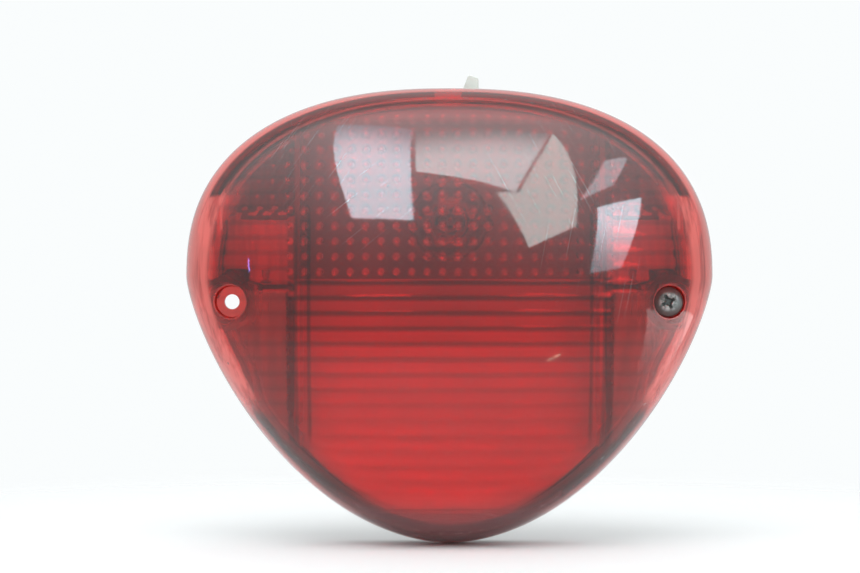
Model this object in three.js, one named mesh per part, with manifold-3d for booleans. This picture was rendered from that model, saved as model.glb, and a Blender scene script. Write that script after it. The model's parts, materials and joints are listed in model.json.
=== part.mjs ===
// Scooter tail light: a red domed lens over a black housing, with a metallised reflector, a two-filament
// bayonet bulb in a sprung socket, and a connector header on the back.
// Millimetres. Everything is built in the lamp's own frame: +X right, +Y up and +Z forward, out of the lens,
// with the screw line at Y = 0 and the mounting plane at Z = 0. The last lines turn that frame so that
// up is +Z and forward is -Y.
import * as THREE from "three";
import { mergeVertices } from "three/addons/utils/BufferGeometryUtils.js";
import Module from "manifold-3d";

const wasm = await Module();
wasm.setup();

// ---------------------------------------------------------------- driving dimensions
const GAP = 0.3; // between pieces that touch
const CLEAR_CUT = 1; // how far a cutting solid runs past what it cuts

const LENS = {
  halfWidth: 82.9,
  waist: 7.6, // height of the widest level
  up: 59.5,
  down: 83.6,
  topPower: 2.4,
  lowerPowerX: 1.92,
  lowerPowerY: 1.37,
  back: 8,
  depth: 46,
  edgePower: 2.6, // above 2 squares the dome's shoulder
  wall: 2.6,
  points: 64,
  rows: 11,
};
const CROWN = { y: 4, halfWidth: 80, halfHeight: 68 }; // the ellipse that the dome's top follows

const SCREW_X = 67.2;
const WELL = { bore: 5.1, outside: 6.9, floor: 28.8, floorWall: 2.5, hole: 2.3 };
const WASHER = { outside: 4.75, inside: 2.4, thick: 0.8, lift: 0.05 };
const SCREW_SEAT = WELL.floor + WASHER.thick + 2 * WASHER.lift;
const POST = { bore: 6.4, outside: 8.4 }; // the passage for a bodywork post, behind each well

const HOUSING = {
  inset: 3.3, // inside the lens outline at the top and bottom
  sideInset: 4.6, // added near the screw line, where the lens flange stands clear of the housing
  sideFrom: 22,
  sideTo: 38,
  front: 14,
  wallFrom: 1.5,
  wallTo: 3.5,
  wall: 2.2,
  flange: 3.6,
  flangeFrom: 11.8,
  footing: 4.5, // width of the ring that rests on the bodywork
  vent: 8.4,
  pad: 7,
};
const VENT_UP = [50, 80]; // the breather slot at the top, cut through the seal as well
const DRAIN_UP = [-90, -60];
const SEAL = { outer: 0.4, inner: 3.3, thick: 2 };
const SEAL_BACK = HOUSING.front + GAP;
const RIB_BACK = SEAL_BACK + SEAL.thick + GAP;
const RIB = { outer: 0.9, inner: 2.9 };

const BULB_Y = 25;
const REFLECTOR = {
  halfWidth: 47.5,
  sheet: 1.6,
  floor: 5.2,
  rise: 15,
  bottom: -64,
  top: 60,
  wallFront: 30,
  wingBack: 9,
  wingBottom: 3.5,
  wingTop: 27,
  hole: 11.5,
  edge: 4.2, // inside the housing outline
};
const STAKE = { x: 57.5, y: 6.8, radius: 1.2, head: 1.9, shoulder: 2.7, headThick: 1 };

const BULB = { base: 7.5, baseFrom: -12, baseTo: 5, glass: 12.5, neck: 6.9, tip: 38, wall: 0.8 };
const PIN = { radius: 1, reach: 8.5, upper: -4.6, lower: -7.4 };
const PUSH = 2.5; // how far the bulb pushes in
const TWIST = THREE.MathUtils.degToRad(15); // and then turns
const SOCKET = { inside: 7.75, outside: 8.5, front: 1.2, back: -25, flange: 14, flangeFrom: 0.2 };
const RIVET_X = 11.5;
const RIVET_HOLE = 1.7;
const CONTACT_X = 3;

const HEADER = { x: 6.65, width: 17, thick: 9.5, bottom: 47, top: 65, wall: 1.5, floor: 6, pitch: 4.6 };
const HEADER_FRONT = -GAP;
const HEADER_MID = HEADER_FRONT - HEADER.thick / 2;
const WIRE_RADIUS = 0.9;

// ---------------------------------------------------------------- materials
const finish = (color, roughness, metalness, extra = {}) =>
  new THREE.MeshStandardMaterial({ color, roughness, metalness, ...extra });
const RED = finish(0xb01218, 0.08, 0, { transparent: true, opacity: 0.6 });
const BLACK = finish(0x17181a, 0.5, 0);
const RUBBER = finish(0x101112, 0.85, 0);
const SILVER = finish(0xc9ccd0, 0.25, 0.9);
const STEEL = finish(0x9b9ea1, 0.35, 1);
const DARK_STEEL = finish(0x2b2d2e, 0.45, 0.8);
const BRASS = finish(0xb9995a, 0.3, 1);
const NYLON = finish(0xe3e6df, 0.4, 0);
const PHENOLIC = finish(0x5a3a22, 0.6, 0);
const GLASS = finish(0xf2f5f5, 0.03, 0, { transparent: true, opacity: 0.3 });
const SOLDER = finish(0xa8abad, 0.3, 1);
const TUNGSTEN = finish(0x4a4b4d, 0.4, 1);

// ---------------------------------------------------------------- solids
function solidOf(geometry) {
  const bare = geometry.clone();
  bare.deleteAttribute("normal");
  bare.deleteAttribute("uv");
  const merged = mergeVertices(bare, 1e-4);
  const faces = [];
  const index = merged.index.array;
  for (let i = 0; i < index.length; i += 3) {
    const [a, b, c] = index.subarray(i, i + 3);
    if (a !== b && b !== c && c !== a) faces.push(a, b, c);
  }
  return new wasm.Manifold(
    new wasm.Mesh({
      numProp: 3,
      vertProperties: merged.attributes.position.array,
      triVerts: new Uint32Array(faces),
    }),
  );
}

const join = (...solids) => solids.reduce((all, next) => all.add(next));
const cut = (solid, ...tools) => tools.reduce((left, tool) => left.subtract(tool), solid);

// A flat outline, as Vector2 points, given thickness from one height above the mounting plane to another.
function slab(outline, from, to) {
  const options = { depth: to - from, bevelEnabled: false, steps: 1 };
  return solidOf(new THREE.ExtrudeGeometry(new THREE.Shape(outline), options).translate(0, 0, from));
}

function rod(x, y, radius, from, to, sides = 24) {
  const cylinder = new THREE.CylinderGeometry(radius, radius, to - from, sides);
  return solidOf(cylinder.rotateX(Math.PI / 2).translate(x, y, (from + to) / 2));
}

function block([x0, x1], [y0, y1], [z0, z1]) {
  const box = new THREE.BoxGeometry(x1 - x0, y1 - y0, z1 - z0);
  return solidOf(box.translate((x0 + x1) / 2, (y0 + y1) / 2, (z0 + z1) / 2));
}

// A profile of [radius, forward] pairs turned about an axis that runs forward through (x, y).
function turned(profile, x = 0, y = 0, sides = 32) {
  const points = profile.map(([radius, forward]) => new THREE.Vector2(radius, forward));
  return solidOf(new THREE.LatheGeometry(points, sides).rotateX(Math.PI / 2).translate(x, y, 0));
}

// A piece of a ring around (x, y), from one angle to another.
function sector(x, y, inside, outside, from, to, startAngle, endAngle) {
  const shape = new THREE.Shape();
  shape.absarc(0, 0, outside, startAngle, endAngle, false);
  shape.absarc(0, 0, inside, endAngle, startAngle, true);
  const options = { depth: to - from, bevelEnabled: false, curveSegments: 10 };
  return solidOf(new THREE.ExtrudeGeometry(shape, options).translate(x, y, from));
}

function tube(points, radius, steps, sides = 8) {
  const shape = new THREE.Shape();
  shape.absarc(0, 0, radius, 0, 2 * Math.PI, false);
  const path = new THREE.CatmullRomCurve3(points.map((p) => new THREE.Vector3(...p)));
  const options = { steps, extrudePath: path, curveSegments: sides / 2, bevelEnabled: false };
  return solidOf(new THREE.ExtrudeGeometry(shape, options));
}

// ---------------------------------------------------------------- outlines
// The lens seen from the front: a superellipse above its widest level and a pointed one below it,
// counter-clockwise and evenly spaced.
function lensOutline(count) {
  const half = [];
  const samples = 240;
  for (let i = 0; i <= samples; i += 1) {
    const angle = Math.PI * (i / samples - 0.5);
    const across = Math.abs(Math.cos(angle));
    const rise = Math.abs(Math.sin(angle));
    const above = angle >= 0;
    const x = LENS.halfWidth * across ** (2 / (above ? LENS.topPower : LENS.lowerPowerX));
    const y = above
      ? LENS.waist + LENS.up * rise ** (2 / LENS.topPower)
      : LENS.waist - LENS.down * rise ** (2 / LENS.lowerPowerY);
    half.push(new THREE.Vector2(x, y));
  }
  const mirrored = half.slice(1, -1).reverse().map((p) => new THREE.Vector2(-p.x, p.y));
  const loop = [...half, ...mirrored, half[0]];
  return new THREE.Path(loop).getSpacedPoints(count).slice(0, -1);
}

// A loop moved inwards, by one distance or by a distance that depends on the point.
function inset(loop, distance) {
  return loop.map((point, i) => {
    const along = loop[(i + 1) % loop.length].clone().sub(loop.at(i - 1)).normalize();
    const inward = new THREE.Vector2(-along.y, along.x);
    const by = typeof distance === "function" ? distance(point) : distance;
    return point.clone().addScaledVector(inward, by);
  });
}

const lensLoop = lensOutline(LENS.points);
const sideShare = (y) => 1 - THREE.MathUtils.smoothstep(Math.abs(y), HOUSING.sideFrom, HOUSING.sideTo);
const housingLoop = inset(lensLoop, (p) => HOUSING.inset + HOUSING.sideInset * sideShare(p.y));

// The ring between two insets of the housing outline, with a rounded wall around each screw passage.
function rimRing(outer, inner, collar, bore, from, to) {
  const edge = slab(inset(housingLoop, outer), from, to);
  const ring = cut(edge, slab(inset(housingLoop, inner), from - CLEAR_CUT, to + CLEAR_CUT));
  const around = [-1, 1].map((side) => rod(side * SCREW_X, 0, collar, from, to).intersect(edge));
  const bores = [-1, 1].map((side) => rod(side * SCREW_X, 0, bore, from - CLEAR_CUT, to + CLEAR_CUT));
  return cut(join(ring, ...around), ...bores);
}

// ---------------------------------------------------------------- lens
// The solid under the dome. wall shrinks it evenly, and back is where its flat rear face lies.
function dome(wall, back) {
  const rim = inset(lensLoop, wall);
  const crown = new THREE.Vector2(0, CROWN.y);
  const positions = [0, CROWN.y, LENS.back + LENS.depth - wall];
  for (let row = 1; row <= LENS.rows; row += 1) {
    const angle = (Math.PI / 2) * (row / LENS.rows);
    const share = Math.sin(angle);
    const height = (LENS.depth - wall) * Math.max(Math.cos(angle), 0) ** (2 / LENS.edgePower);
    for (const point of rim) {
      const out = point.clone().sub(crown);
      const reach = out.length();
      out.normalize();
      const round = 1 / Math.hypot(out.x / (CROWN.halfWidth - wall), out.y / (CROWN.halfHeight - wall));
      const radius = share * THREE.MathUtils.lerp(round, reach, share ** 2);
      const z = row === LENS.rows ? back : LENS.back + height;
      positions.push(out.x * radius, CROWN.y + out.y * radius, z);
    }
  }
  positions.push(0, CROWN.y, back);
  const n = rim.length;
  const at = (row, i) => 1 + (row - 1) * n + (i % n);
  const last = 1 + LENS.rows * n;
  const faces = [];
  for (let i = 0; i < n; i += 1) {
    faces.push(0, at(1, i), at(1, i + 1));
    for (let row = 1; row < LENS.rows; row += 1) {
      faces.push(at(row, i), at(row + 1, i), at(row + 1, i + 1));
      faces.push(at(row, i), at(row + 1, i + 1), at(row, i + 1));
    }
    faces.push(last, at(LENS.rows, i + 1), at(LENS.rows, i));
  }
  const geometry = new THREE.BufferGeometry();
  geometry.setAttribute("position", new THREE.BufferAttribute(new Float32Array(positions), 3));
  geometry.setIndex(faces);
  return solidOf(geometry);
}

const FAR = LENS.back + LENS.depth + 10;
const domeSolid = dome(0, LENS.back);

function lens() {
  const shell = domeSolid.subtract(dome(LENS.wall, LENS.back - CLEAR_CUT));
  const wellUnder = WELL.floor - WELL.floorWall;
  const rib = rimRing(RIB.outer, RIB.inner, POST.outside, POST.bore, RIB_BACK, FAR).intersect(domeSolid);
  const perWell = [-1, 1].map((side) => {
    const x = side * SCREW_X;
    const upper = rod(x, 0, WELL.outside, wellUnder, FAR);
    const lower = rod(x, 0, POST.outside, RIB_BACK, WELL.floor);
    return join(upper, lower).intersect(domeSolid);
  });
  const cuts = [-1, 1].flatMap((side) => [
    rod(side * SCREW_X, 0, WELL.bore, WELL.floor, FAR),
    rod(side * SCREW_X, 0, WELL.hole, RIB_BACK - CLEAR_CUT, FAR, 24),
    rod(side * SCREW_X, 0, POST.bore, RIB_BACK - CLEAR_CUT, wellUnder),
  ]);
  return cut(join(shell, rib, ...perWell), ...cuts);
}

// A pan-head tapping screw with a cross recess, its thread drawn as rings.
const SCREW = {
  head: 4.75,
  edge: 1.3,
  crown: 3,
  major: 2.1,
  minor: 1.6,
  plain: 12, // unthreaded length under the head
  pitch: 2.4,
  point: 3,
  tip: -6,
  recess: 1.6,
  turn: 0.35,
};

function lensScrew() {
  const top = SCREW_SEAT + SCREW.crown;
  const profile = [[0, top], [SCREW.head * 0.55, top - 0.25], [SCREW.head * 0.9, top - 0.95]];
  profile.push([SCREW.head, SCREW_SEAT + SCREW.edge], [SCREW.head, SCREW_SEAT]);
  profile.push([SCREW.minor, SCREW_SEAT]);
  for (let z = SCREW_SEAT - SCREW.plain; z > SCREW.tip + SCREW.point; z -= SCREW.pitch) {
    profile.push([SCREW.minor, z]);
    profile.push([SCREW.major, z - SCREW.pitch * 0.4]);
    profile.push([SCREW.minor, z - SCREW.pitch * 0.8]);
  }
  profile.push([0, SCREW.tip]);
  const recess = [0, Math.PI / 2].map((turn) => {
    const wing = new THREE.CylinderGeometry(SCREW.recess, 1, 2.6, 4, 1).rotateY(Math.PI / 4);
    wing.scale(1.9, 1, 0.55).rotateX(Math.PI / 2).rotateZ(turn + SCREW.turn);
    return solidOf(wing.translate(SCREW_X, 0, top - 0.7));
  });
  return cut(turned(profile.reverse(), SCREW_X, 0, 20), ...recess);
}

function screwWasher() {
  const from = WELL.floor + WASHER.lift;
  const disc = rod(SCREW_X, 0, WASHER.outside, from, from + WASHER.thick);
  return disc.subtract(rod(SCREW_X, 0, WASHER.inside, from - CLEAR_CUT, FAR, 20));
}

// ---------------------------------------------------------------- housing and seal
function housing() {
  const depth = [0, HOUSING.front];
  const outer = slab(housingLoop, ...depth);
  const cavity = slab(inset(housingLoop, HOUSING.wall), HOUSING.wallTo, HOUSING.flangeFrom);
  const mouth = slab(inset(housingLoop, HOUSING.flange), HOUSING.wallTo, HOUSING.front + CLEAR_CUT);
  const recess = slab(inset(housingLoop, HOUSING.footing), -CLEAR_CUT, HOUSING.wallFrom);
  const sides = [-1, 1];
  const through = [-CLEAR_CUT, HOUSING.wallTo + CLEAR_CUT];
  const slot = [-HOUSING.vent / 2, HOUSING.vent / 2];
  const collars = sides.map((side) => rod(side * SCREW_X, 0, POST.outside, ...depth).intersect(outer));
  const bores = sides.map((side) => rod(side * SCREW_X, 0, POST.bore - 0.2, -CLEAR_CUT, FAR));
  const hole = rod(0, BULB_Y, SOCKET.outside + 0.6, ...through);
  const rivetHoles = sides.map((side) => rod(side * RIVET_X, BULB_Y, RIVET_HOLE, ...through, 16));
  const vent = block(slot, VENT_UP, [HOUSING.wallTo + 2, FAR]);
  const drain = block(slot, DRAIN_UP, [HOUSING.wallTo, HOUSING.wallTo + 4]);
  const pad = rod(0, 0, HOUSING.pad, 0, HOUSING.wallTo);
  const ribs = rearRibs();
  const stakes = sides.map((side) => stake(side));
  const rails = sides.map((side) => headerRail(side));
  const tub = cut(outer, cavity, mouth, recess);
  const whole = join(tub, ...collars, pad, ...ribs, ...stakes, ...rails);
  return cut(whole, ...bores, hole, ...rivetHoles, vent, drain);
}

// Stiffening ribs on the back, from the pad out to the footing ring.
function rearRibs() {
  const thick = 1.6;
  const long = 90;
  const tall = HOUSING.wallTo - 0.4;
  const band = slab(inset(housingLoop, HOUSING.wall), 0, HOUSING.wallTo);
  const clearOfSocket = rod(0, BULB_Y, SOCKET.flange + 1.5, -CLEAR_CUT, HOUSING.wallFrom + 0.5);
  return [-150, -115, -90, -65, -30, 0, 180].map((degrees) => {
    const bar = new THREE.BoxGeometry(long, thick, tall).translate(long / 2, 0, HOUSING.wallTo - tall / 2);
    const turnedBar = solidOf(bar.rotateZ(THREE.MathUtils.degToRad(degrees)));
    return turnedBar.intersect(band).subtract(clearOfSocket);
  });
}

// A post through the reflector's wing, mushroomed over it.
function stake(side) {
  const headFrom = REFLECTOR.wingBack + REFLECTOR.sheet + GAP;
  const pin = (radius, from, to) => rod(side * STAKE.x, STAKE.y, radius, from, to, 16);
  const post = pin(STAKE.radius, HOUSING.wallFrom, headFrom + 0.2);
  const shoulder = pin(STAKE.shoulder, HOUSING.wallFrom, REFLECTOR.wingBack - GAP);
  return join(post, shoulder, pin(STAKE.head, headFrom, headFrom + STAKE.headThick));
}

// One of the two rails that the connector header slides between.
function headerRail(side) {
  const near = HEADER.x + side * (HEADER.width / 2 + GAP);
  const far = near + side * 1.8;
  const lip = near - side * 1.2;
  const x = (a, b) => [Math.min(a, b), Math.max(a, b)];
  const back = HEADER_FRONT - HEADER.thick;
  const heights = [50, 60];
  const wall = block(x(near, far), heights, [back - GAP - 1.4, HOUSING.wallFrom + 0.4]);
  return join(wall, block(x(lip, far), heights, [back - GAP - 1.4, back - GAP]));
}

function lensSeal() {
  const from = SEAL_BACK;
  const to = from + SEAL.thick;
  const ring = rimRing(SEAL.outer, SEAL.inner, POST.outside, POST.bore, from, to);
  const slot = [-HOUSING.vent / 2, HOUSING.vent / 2];
  return ring.subtract(block(slot, VENT_UP, [from - CLEAR_CUT, to + CLEAR_CUT]));
}

// ---------------------------------------------------------------- reflector
// A trough behind the bulb between two upright walls, with a flat wing out to each side.
function reflector() {
  const { halfWidth, sheet, floor, rise, bottom, top } = REFLECTOR;
  const run = (y) => (y < BULB_Y ? (BULB_Y - y) / (BULB_Y - bottom) : (y - BULB_Y) / (top - BULB_Y));
  const height = (y) => floor + rise * run(y) ** 2.2;
  const steps = 22;
  const line = Array.from({ length: steps + 1 }, (_, i) => {
    const y = bottom + ((top - bottom) * i) / steps;
    return new THREE.Vector2(y, height(y));
  });
  const across = (points, from, to) => {
    const options = { depth: to - from, bevelEnabled: false };
    const geometry = new THREE.ExtrudeGeometry(new THREE.Shape(points), options);
    const basis = new THREE.Matrix4().makeBasis(
      new THREE.Vector3(0, 1, 0),
      new THREE.Vector3(0, 0, 1),
      new THREE.Vector3(1, 0, 0),
    );
    return solidOf(geometry.translate(0, 0, from).applyMatrix4(basis));
  };
  const raised = line.map((p) => new THREE.Vector2(p.x, p.y + sheet)).reverse();
  const trough = across([...line, ...raised], -halfWidth, halfWidth);
  const front = [new THREE.Vector2(top, REFLECTOR.wallFront), new THREE.Vector2(bottom, REFLECTOR.wallFront)];
  const walls = [-1, 1].map((side) => {
    const ends = [side * (halfWidth - sheet), side * halfWidth].sort((a, b) => a - b);
    return across([...line, ...front], ...ends);
  });
  const wingFront = REFLECTOR.wingBack + sheet;
  const wings = [-1, 1].map((side) => {
    const ends = [side * (halfWidth - sheet), side * 90].sort((a, b) => a - b);
    return block(ends, [REFLECTOR.wingBottom, REFLECTOR.wingTop], [REFLECTOR.wingBack, wingFront]);
  });
  const roomInside = slab(inset(housingLoop, REFLECTOR.edge), 0, FAR).intersect(dome(LENS.wall + 2.4, 0));
  const trimmed = join(trough, ...walls, ...wings).intersect(roomInside);
  const passages = [-1, 1].flatMap((side) => [
    rod(side * SCREW_X, 0, POST.outside + 1, 0, FAR),
    rod(side * STAKE.x, STAKE.y, STAKE.radius + GAP, 0, FAR, 16),
  ]);
  return cut(trimmed, ...passages, rod(0, BULB_Y, REFLECTOR.hole, 0, FAR));
}

// ---------------------------------------------------------------- bulb
function bulbGlass() {
  const { glass, neck, tip, baseTo, wall } = BULB;
  const centre = tip - glass;
  const from = baseTo - 3;
  const outer = [[neck, from], [neck, baseTo + 1], [neck + 1.2, baseTo + 4]];
  const inner = [[neck - wall, from], [neck - wall, baseTo + 1.2], [neck + 1.2 - wall, baseTo + 4.3]];
  const arcSteps = 7;
  for (let i = 0; i <= arcSteps; i += 1) {
    const angle = -0.42 + ((Math.PI / 2 + 0.42) * i) / arcSteps;
    outer.push([glass * Math.max(Math.cos(angle), 0), centre + glass * Math.sin(angle)]);
    inner.push([(glass - wall) * Math.max(Math.cos(angle), 0), centre + (glass - wall) * Math.sin(angle)]);
  }
  return turned([...outer, ...inner.reverse(), outer[0]], 0, BULB_Y, 24);
}

function bulbBase() {
  const { base, baseFrom, baseTo, neck } = BULB;
  const cup = [[0, baseFrom + 1], [base - 1.4, baseFrom], [base, baseFrom + 1.2], [base, baseTo - 0.6]];
  cup.push([base + 0.2, baseTo], [neck + GAP, baseTo], [neck + GAP, baseTo - 4], [0, baseTo - 4]);
  return turned(cup, 0, BULB_Y);
}

// The glass stem that carries the filament wires.
function bulbStem() {
  const foot = BULB.baseTo - 3.6;
  const profile = [[0, foot], [BULB.neck - BULB.wall - GAP, foot], [4, foot + 3], [2.2, foot + 7]];
  return turned([...profile, [1.8, foot + 13], [0, foot + 13.5]], 0, BULB_Y, 20);
}

function bayonetPin(side) {
  const along = side > 0 ? PIN.upper : PIN.lower;
  const from = BULB.base + 0.05;
  const cylinder = new THREE.CylinderGeometry(PIN.radius, PIN.radius, PIN.reach - from, 16);
  return solidOf(cylinder.rotateZ(Math.PI / 2).translate((side * (from + PIN.reach)) / 2, BULB_Y, along));
}

const FILAMENT = {
  brake: { z: 26, y: BULB_Y + 1.6, half: 3.2 },
  tail: { z: 22.4, y: BULB_Y - 1.8, half: 2.6 },
};

function filament({ z, y, half }) {
  const turns = 6;
  const steps = turns * 6;
  const points = Array.from({ length: steps + 1 }, (_, i) => {
    const angle = (2 * Math.PI * turns * i) / steps;
    return [half * ((2 * i) / steps - 1), y + 0.42 * Math.cos(angle), z + 0.42 * Math.sin(angle)];
  });
  return tube(points, 0.14, steps, 4);
}

// A support wire from the stem to one end of a filament.
function supportWire({ z, y, half }, side) {
  const foot = BULB.baseTo + 10.2;
  const end = side * (half + 0.45);
  const route = [[side * 1.1, (y + BULB_Y) / 2, foot], [side * 1.6, y, foot + 3.5], [end, y, z - 3]];
  return tube([...route, [end, y, z + 0.4]], 0.22, 8, 6);
}

function solderDot(side) {
  const from = BULB.baseFrom - 0.9;
  const profile = [[0, from], [1.2, from + 0.15], [1.7, from + 0.8], [0, from + 0.8]];
  return turned(profile, side * CONTACT_X, BULB_Y, 16);
}

// ---------------------------------------------------------------- socket
const DISC = { front: BULB.baseFrom - 2.1, thick: 2.4, radius: 7.35 };
const DISC_BACK = DISC.front - DISC.thick;
const CAP_FRONT = SOCKET.back + 2.2;

function socketShell() {
  const { inside, outside, front, back, flange, flangeFrom } = SOCKET;
  const lip = inside - 1.4;
  const profile = [[inside, front], [inside, back + 0.7], [lip, back + 0.7], [lip, back]];
  profile.push([outside, back], [outside, flangeFrom], [flange, flangeFrom], [flange, front - 0.15]);
  profile.push([outside, front - 0.15], [outside, front], [inside, front]);
  const shell = turned(profile, 0, BULB_Y);
  const rivetHoles = [-1, 1].map((side) => rod(side * RIVET_X, BULB_Y, RIVET_HOLE, -2, 4, 16));
  return cut(shell, ...rivetHoles, ...[-1, 1].flatMap((side) => bayonetSlot(side)));
}

// The L-shaped slot for one bayonet pin: in along the axis, then round by the twist.
function bayonetSlot(side) {
  const pinAt = side > 0 ? PIN.upper : PIN.lower;
  const centre = side > 0 ? 0 : Math.PI;
  const spread = 0.17;
  const reach = [SOCKET.inside - 0.6, SOCKET.outside + 0.5];
  const low = pinAt - PUSH - PIN.radius - GAP;
  const high = pinAt + PIN.radius + GAP;
  const round = sector(0, BULB_Y, ...reach, low, high, centre - spread, centre + TWIST + spread);
  const entry = [centre + TWIST - spread, centre + TWIST + spread];
  return [round, sector(0, BULB_Y, ...reach, low, SOCKET.front + 1, ...entry)];
}

function contactDisc() {
  const disc = rod(0, BULB_Y, DISC.radius, DISC_BACK, DISC.front);
  const holes = [-1, 1].map((side) => rod(side * CONTACT_X, BULB_Y, 0.9, DISC_BACK - 1, DISC.front + 1, 16));
  return cut(disc, ...holes);
}

// A brass contact riveted through the disc, with a solder tail behind it.
function contactRivet(side) {
  const head = DISC.front + 0.05;
  const under = DISC_BACK - 0.05;
  const profile = [[0, DISC_BACK - 1.8], [1.3, DISC_BACK - 1.8], [1.3, under], [0.8, under]];
  profile.push([0.8, head], [1.8, head], [1.6, head + 0.75], [0, head + 0.95]);
  return turned(profile, side * CONTACT_X, BULB_Y, 16);
}

function contactSpring() {
  const turns = 3.5;
  const steps = Math.round(turns * 12);
  const from = CAP_FRONT + 0.6;
  const to = DISC_BACK - 0.6;
  const points = Array.from({ length: steps + 1 }, (_, i) => {
    const angle = (2 * Math.PI * turns * i) / steps;
    return [6.2 * Math.cos(angle), BULB_Y + 6.2 * Math.sin(angle), from + ((to - from) * i) / steps];
  });
  return tube(points, 0.45, steps, 6);
}

function socketCap() {
  const cap = rod(0, BULB_Y, SOCKET.inside - 0.15, SOCKET.back + 0.8, CAP_FRONT);
  const slot = [-1, 1].map((side) => rod(side * CONTACT_X, BULB_Y, WIRE_RADIUS + GAP, -40, 0, 16));
  return cut(cap, ...slot);
}

function socketRivet(side) {
  const under = SOCKET.flangeFrom;
  const over = HOUSING.wallTo;
  const profile = [[0, under - 1], [1.9, under - 0.9], [2.3, under - 0.1], [1.4, under - 0.1]];
  profile.push([1.4, over + 0.1], [2.6, over + 0.1], [2, over + 0.9], [0, over + 1]);
  return turned(profile, side * RIVET_X, BULB_Y, 20);
}

// The earth tab under the right rivet's head, bent to stand out of the back.
const EARTH = { x: [15.2, 16], y: [22.8, 27.2], back: -8 };
function earthTab() {
  const plate = block([8.9, EARTH.x[1]], EARTH.y, [SOCKET.flangeFrom - 2, SOCKET.flangeFrom - 1.2]);
  return plate.add(block(EARTH.x, EARTH.y, [EARTH.back, SOCKET.flangeFrom - 1.2]));
}

// ---------------------------------------------------------------- connector header and wiring
function connectorHeader() {
  const x = [HEADER.x - HEADER.width / 2, HEADER.x + HEADER.width / 2];
  const z = [HEADER_FRONT - HEADER.thick, HEADER_FRONT];
  const body = block(x, [HEADER.bottom, HEADER.top], z);
  const within = ([a, b], by) => [a + by, b - by];
  const mouth = [HEADER.bottom + HEADER.floor, HEADER.top + CLEAR_CUT];
  const cavity = block(within(x, HEADER.wall), mouth, within(z, HEADER.wall));
  const ways = [-1, 0, 1].map((way) => {
    const at = HEADER.x + way * HEADER.pitch;
    const up = [HEADER.bottom - CLEAR_CUT, HEADER.top];
    return block([at - 1.75, at + 1.75], up, [HEADER_MID - 1.1, HEADER_MID + 1.1]);
  });
  return join(cut(body, cavity, ...ways), headerTongue());
}

// The keying tongue that stands up past the lens's top edge, with one sloping side.
function headerTongue() {
  const left = HEADER.x - 2.75;
  const right = HEADER.x + 2.75;
  const outline = [
    [left, HEADER.top - 2],
    [right, HEADER.top - 2],
    [right, 71.2],
    [left + 2.3, 72.4],
    [left + 1, 69],
    [left, 66.5],
  ].map(([x, y]) => new THREE.Vector2(x, y));
  return slab(outline, HEADER_FRONT - 2.4, HEADER_FRONT);
}

// A blade in the header, with its crimp at the wire's end.
function headerBlade(way) {
  const at = HEADER.x + way * HEADER.pitch;
  const around = (middle, half) => [middle - half, middle + half];
  const { bottom, top } = HEADER;
  const blade = block(around(at, 1.4), [bottom + 3, top - 3], around(HEADER_MID, 0.4));
  return blade.add(block(around(at, 1.3), [bottom + 1, bottom + 4], around(HEADER_MID, 0.8)));
}

const WIRE_TOP = HEADER.bottom + 1 - GAP;
const wireEnd = (way) => HEADER.x + way * HEADER.pitch;
const WIRES = {
  wire_tail: [
    [-CONTACT_X, BULB_Y, DISC_BACK - 1.8 - PUSH - GAP],
    [-CONTACT_X, BULB_Y, -27],
    [-3.4, BULB_Y + 4, -30.5],
    [-3, 35, -24],
    [wireEnd(-1), 41, -9],
    [wireEnd(-1), 44.5, HEADER_MID],
    [wireEnd(-1), WIRE_TOP, HEADER_MID],
  ],
  wire_brake: [
    [CONTACT_X, BULB_Y, DISC_BACK - 1.8 - PUSH - GAP],
    [CONTACT_X, BULB_Y, -27],
    [3.6, BULB_Y + 4, -31],
    [5, 36, -24.5],
    [wireEnd(0), 41, -9.5],
    [wireEnd(0), 44.5, HEADER_MID],
    [wireEnd(0), WIRE_TOP, HEADER_MID],
  ],
  wire_earth: [
    [EARTH.x[0] - 1.3, BULB_Y, EARTH.back + 2],
    [EARTH.x[0] - 1.3, BULB_Y + 1, EARTH.back - 3],
    [14.5, 32, EARTH.back - 5],
    [wireEnd(1) + 0.6, 40, -7.5],
    [wireEnd(1), 44.5, HEADER_MID],
    [wireEnd(1), WIRE_TOP, HEADER_MID],
  ],
};

// ---------------------------------------------------------------- assembly
const lamp = new THREE.Group();

function add(name, solid, material) {
  const { vertProperties, triVerts } = solid.getMesh();
  const geometry = new THREE.BufferGeometry();
  geometry.setAttribute("position", new THREE.BufferAttribute(vertProperties, 3));
  geometry.setIndex(new THREE.BufferAttribute(triVerts, 1));
  geometry.computeVertexNormals();
  const mesh = new THREE.Mesh(geometry, material);
  mesh.name = name;
  lamp.add(mesh);
}

add("lens", lens(), RED);
add("lens_screw", lensScrew(), DARK_STEEL);
add("screw_washer", screwWasher(), DARK_STEEL);
add("housing", housing(), BLACK);
add("lens_seal", lensSeal(), RUBBER);
add("reflector", reflector(), SILVER);
add("bulb_glass", bulbGlass(), GLASS);
add("bulb_base", bulbBase(), STEEL);
add("bulb_stem", bulbStem(), GLASS);
add("bayonet_pin_upper", bayonetPin(1), BRASS);
add("bayonet_pin_lower", bayonetPin(-1), BRASS);
for (const [name, place] of Object.entries(FILAMENT)) {
  add(`filament_${name}`, filament(place), TUNGSTEN);
  add(`support_${name}_left`, supportWire(place, -1), STEEL);
  add(`support_${name}_right`, supportWire(place, 1), STEEL);
}
add("bulb_contact_tail", solderDot(-1), SOLDER);
add("bulb_contact_brake", solderDot(1), SOLDER);
add("contact_disc", contactDisc(), PHENOLIC);
add("contact_tail", contactRivet(-1), BRASS);
add("contact_brake", contactRivet(1), BRASS);
add("contact_spring", contactSpring(), STEEL);
add("socket_shell", socketShell(), STEEL);
add("socket_cap", socketCap(), PHENOLIC);
add("socket_rivet_left", socketRivet(-1), BRASS);
add("socket_rivet_right", socketRivet(1), BRASS);
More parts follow.
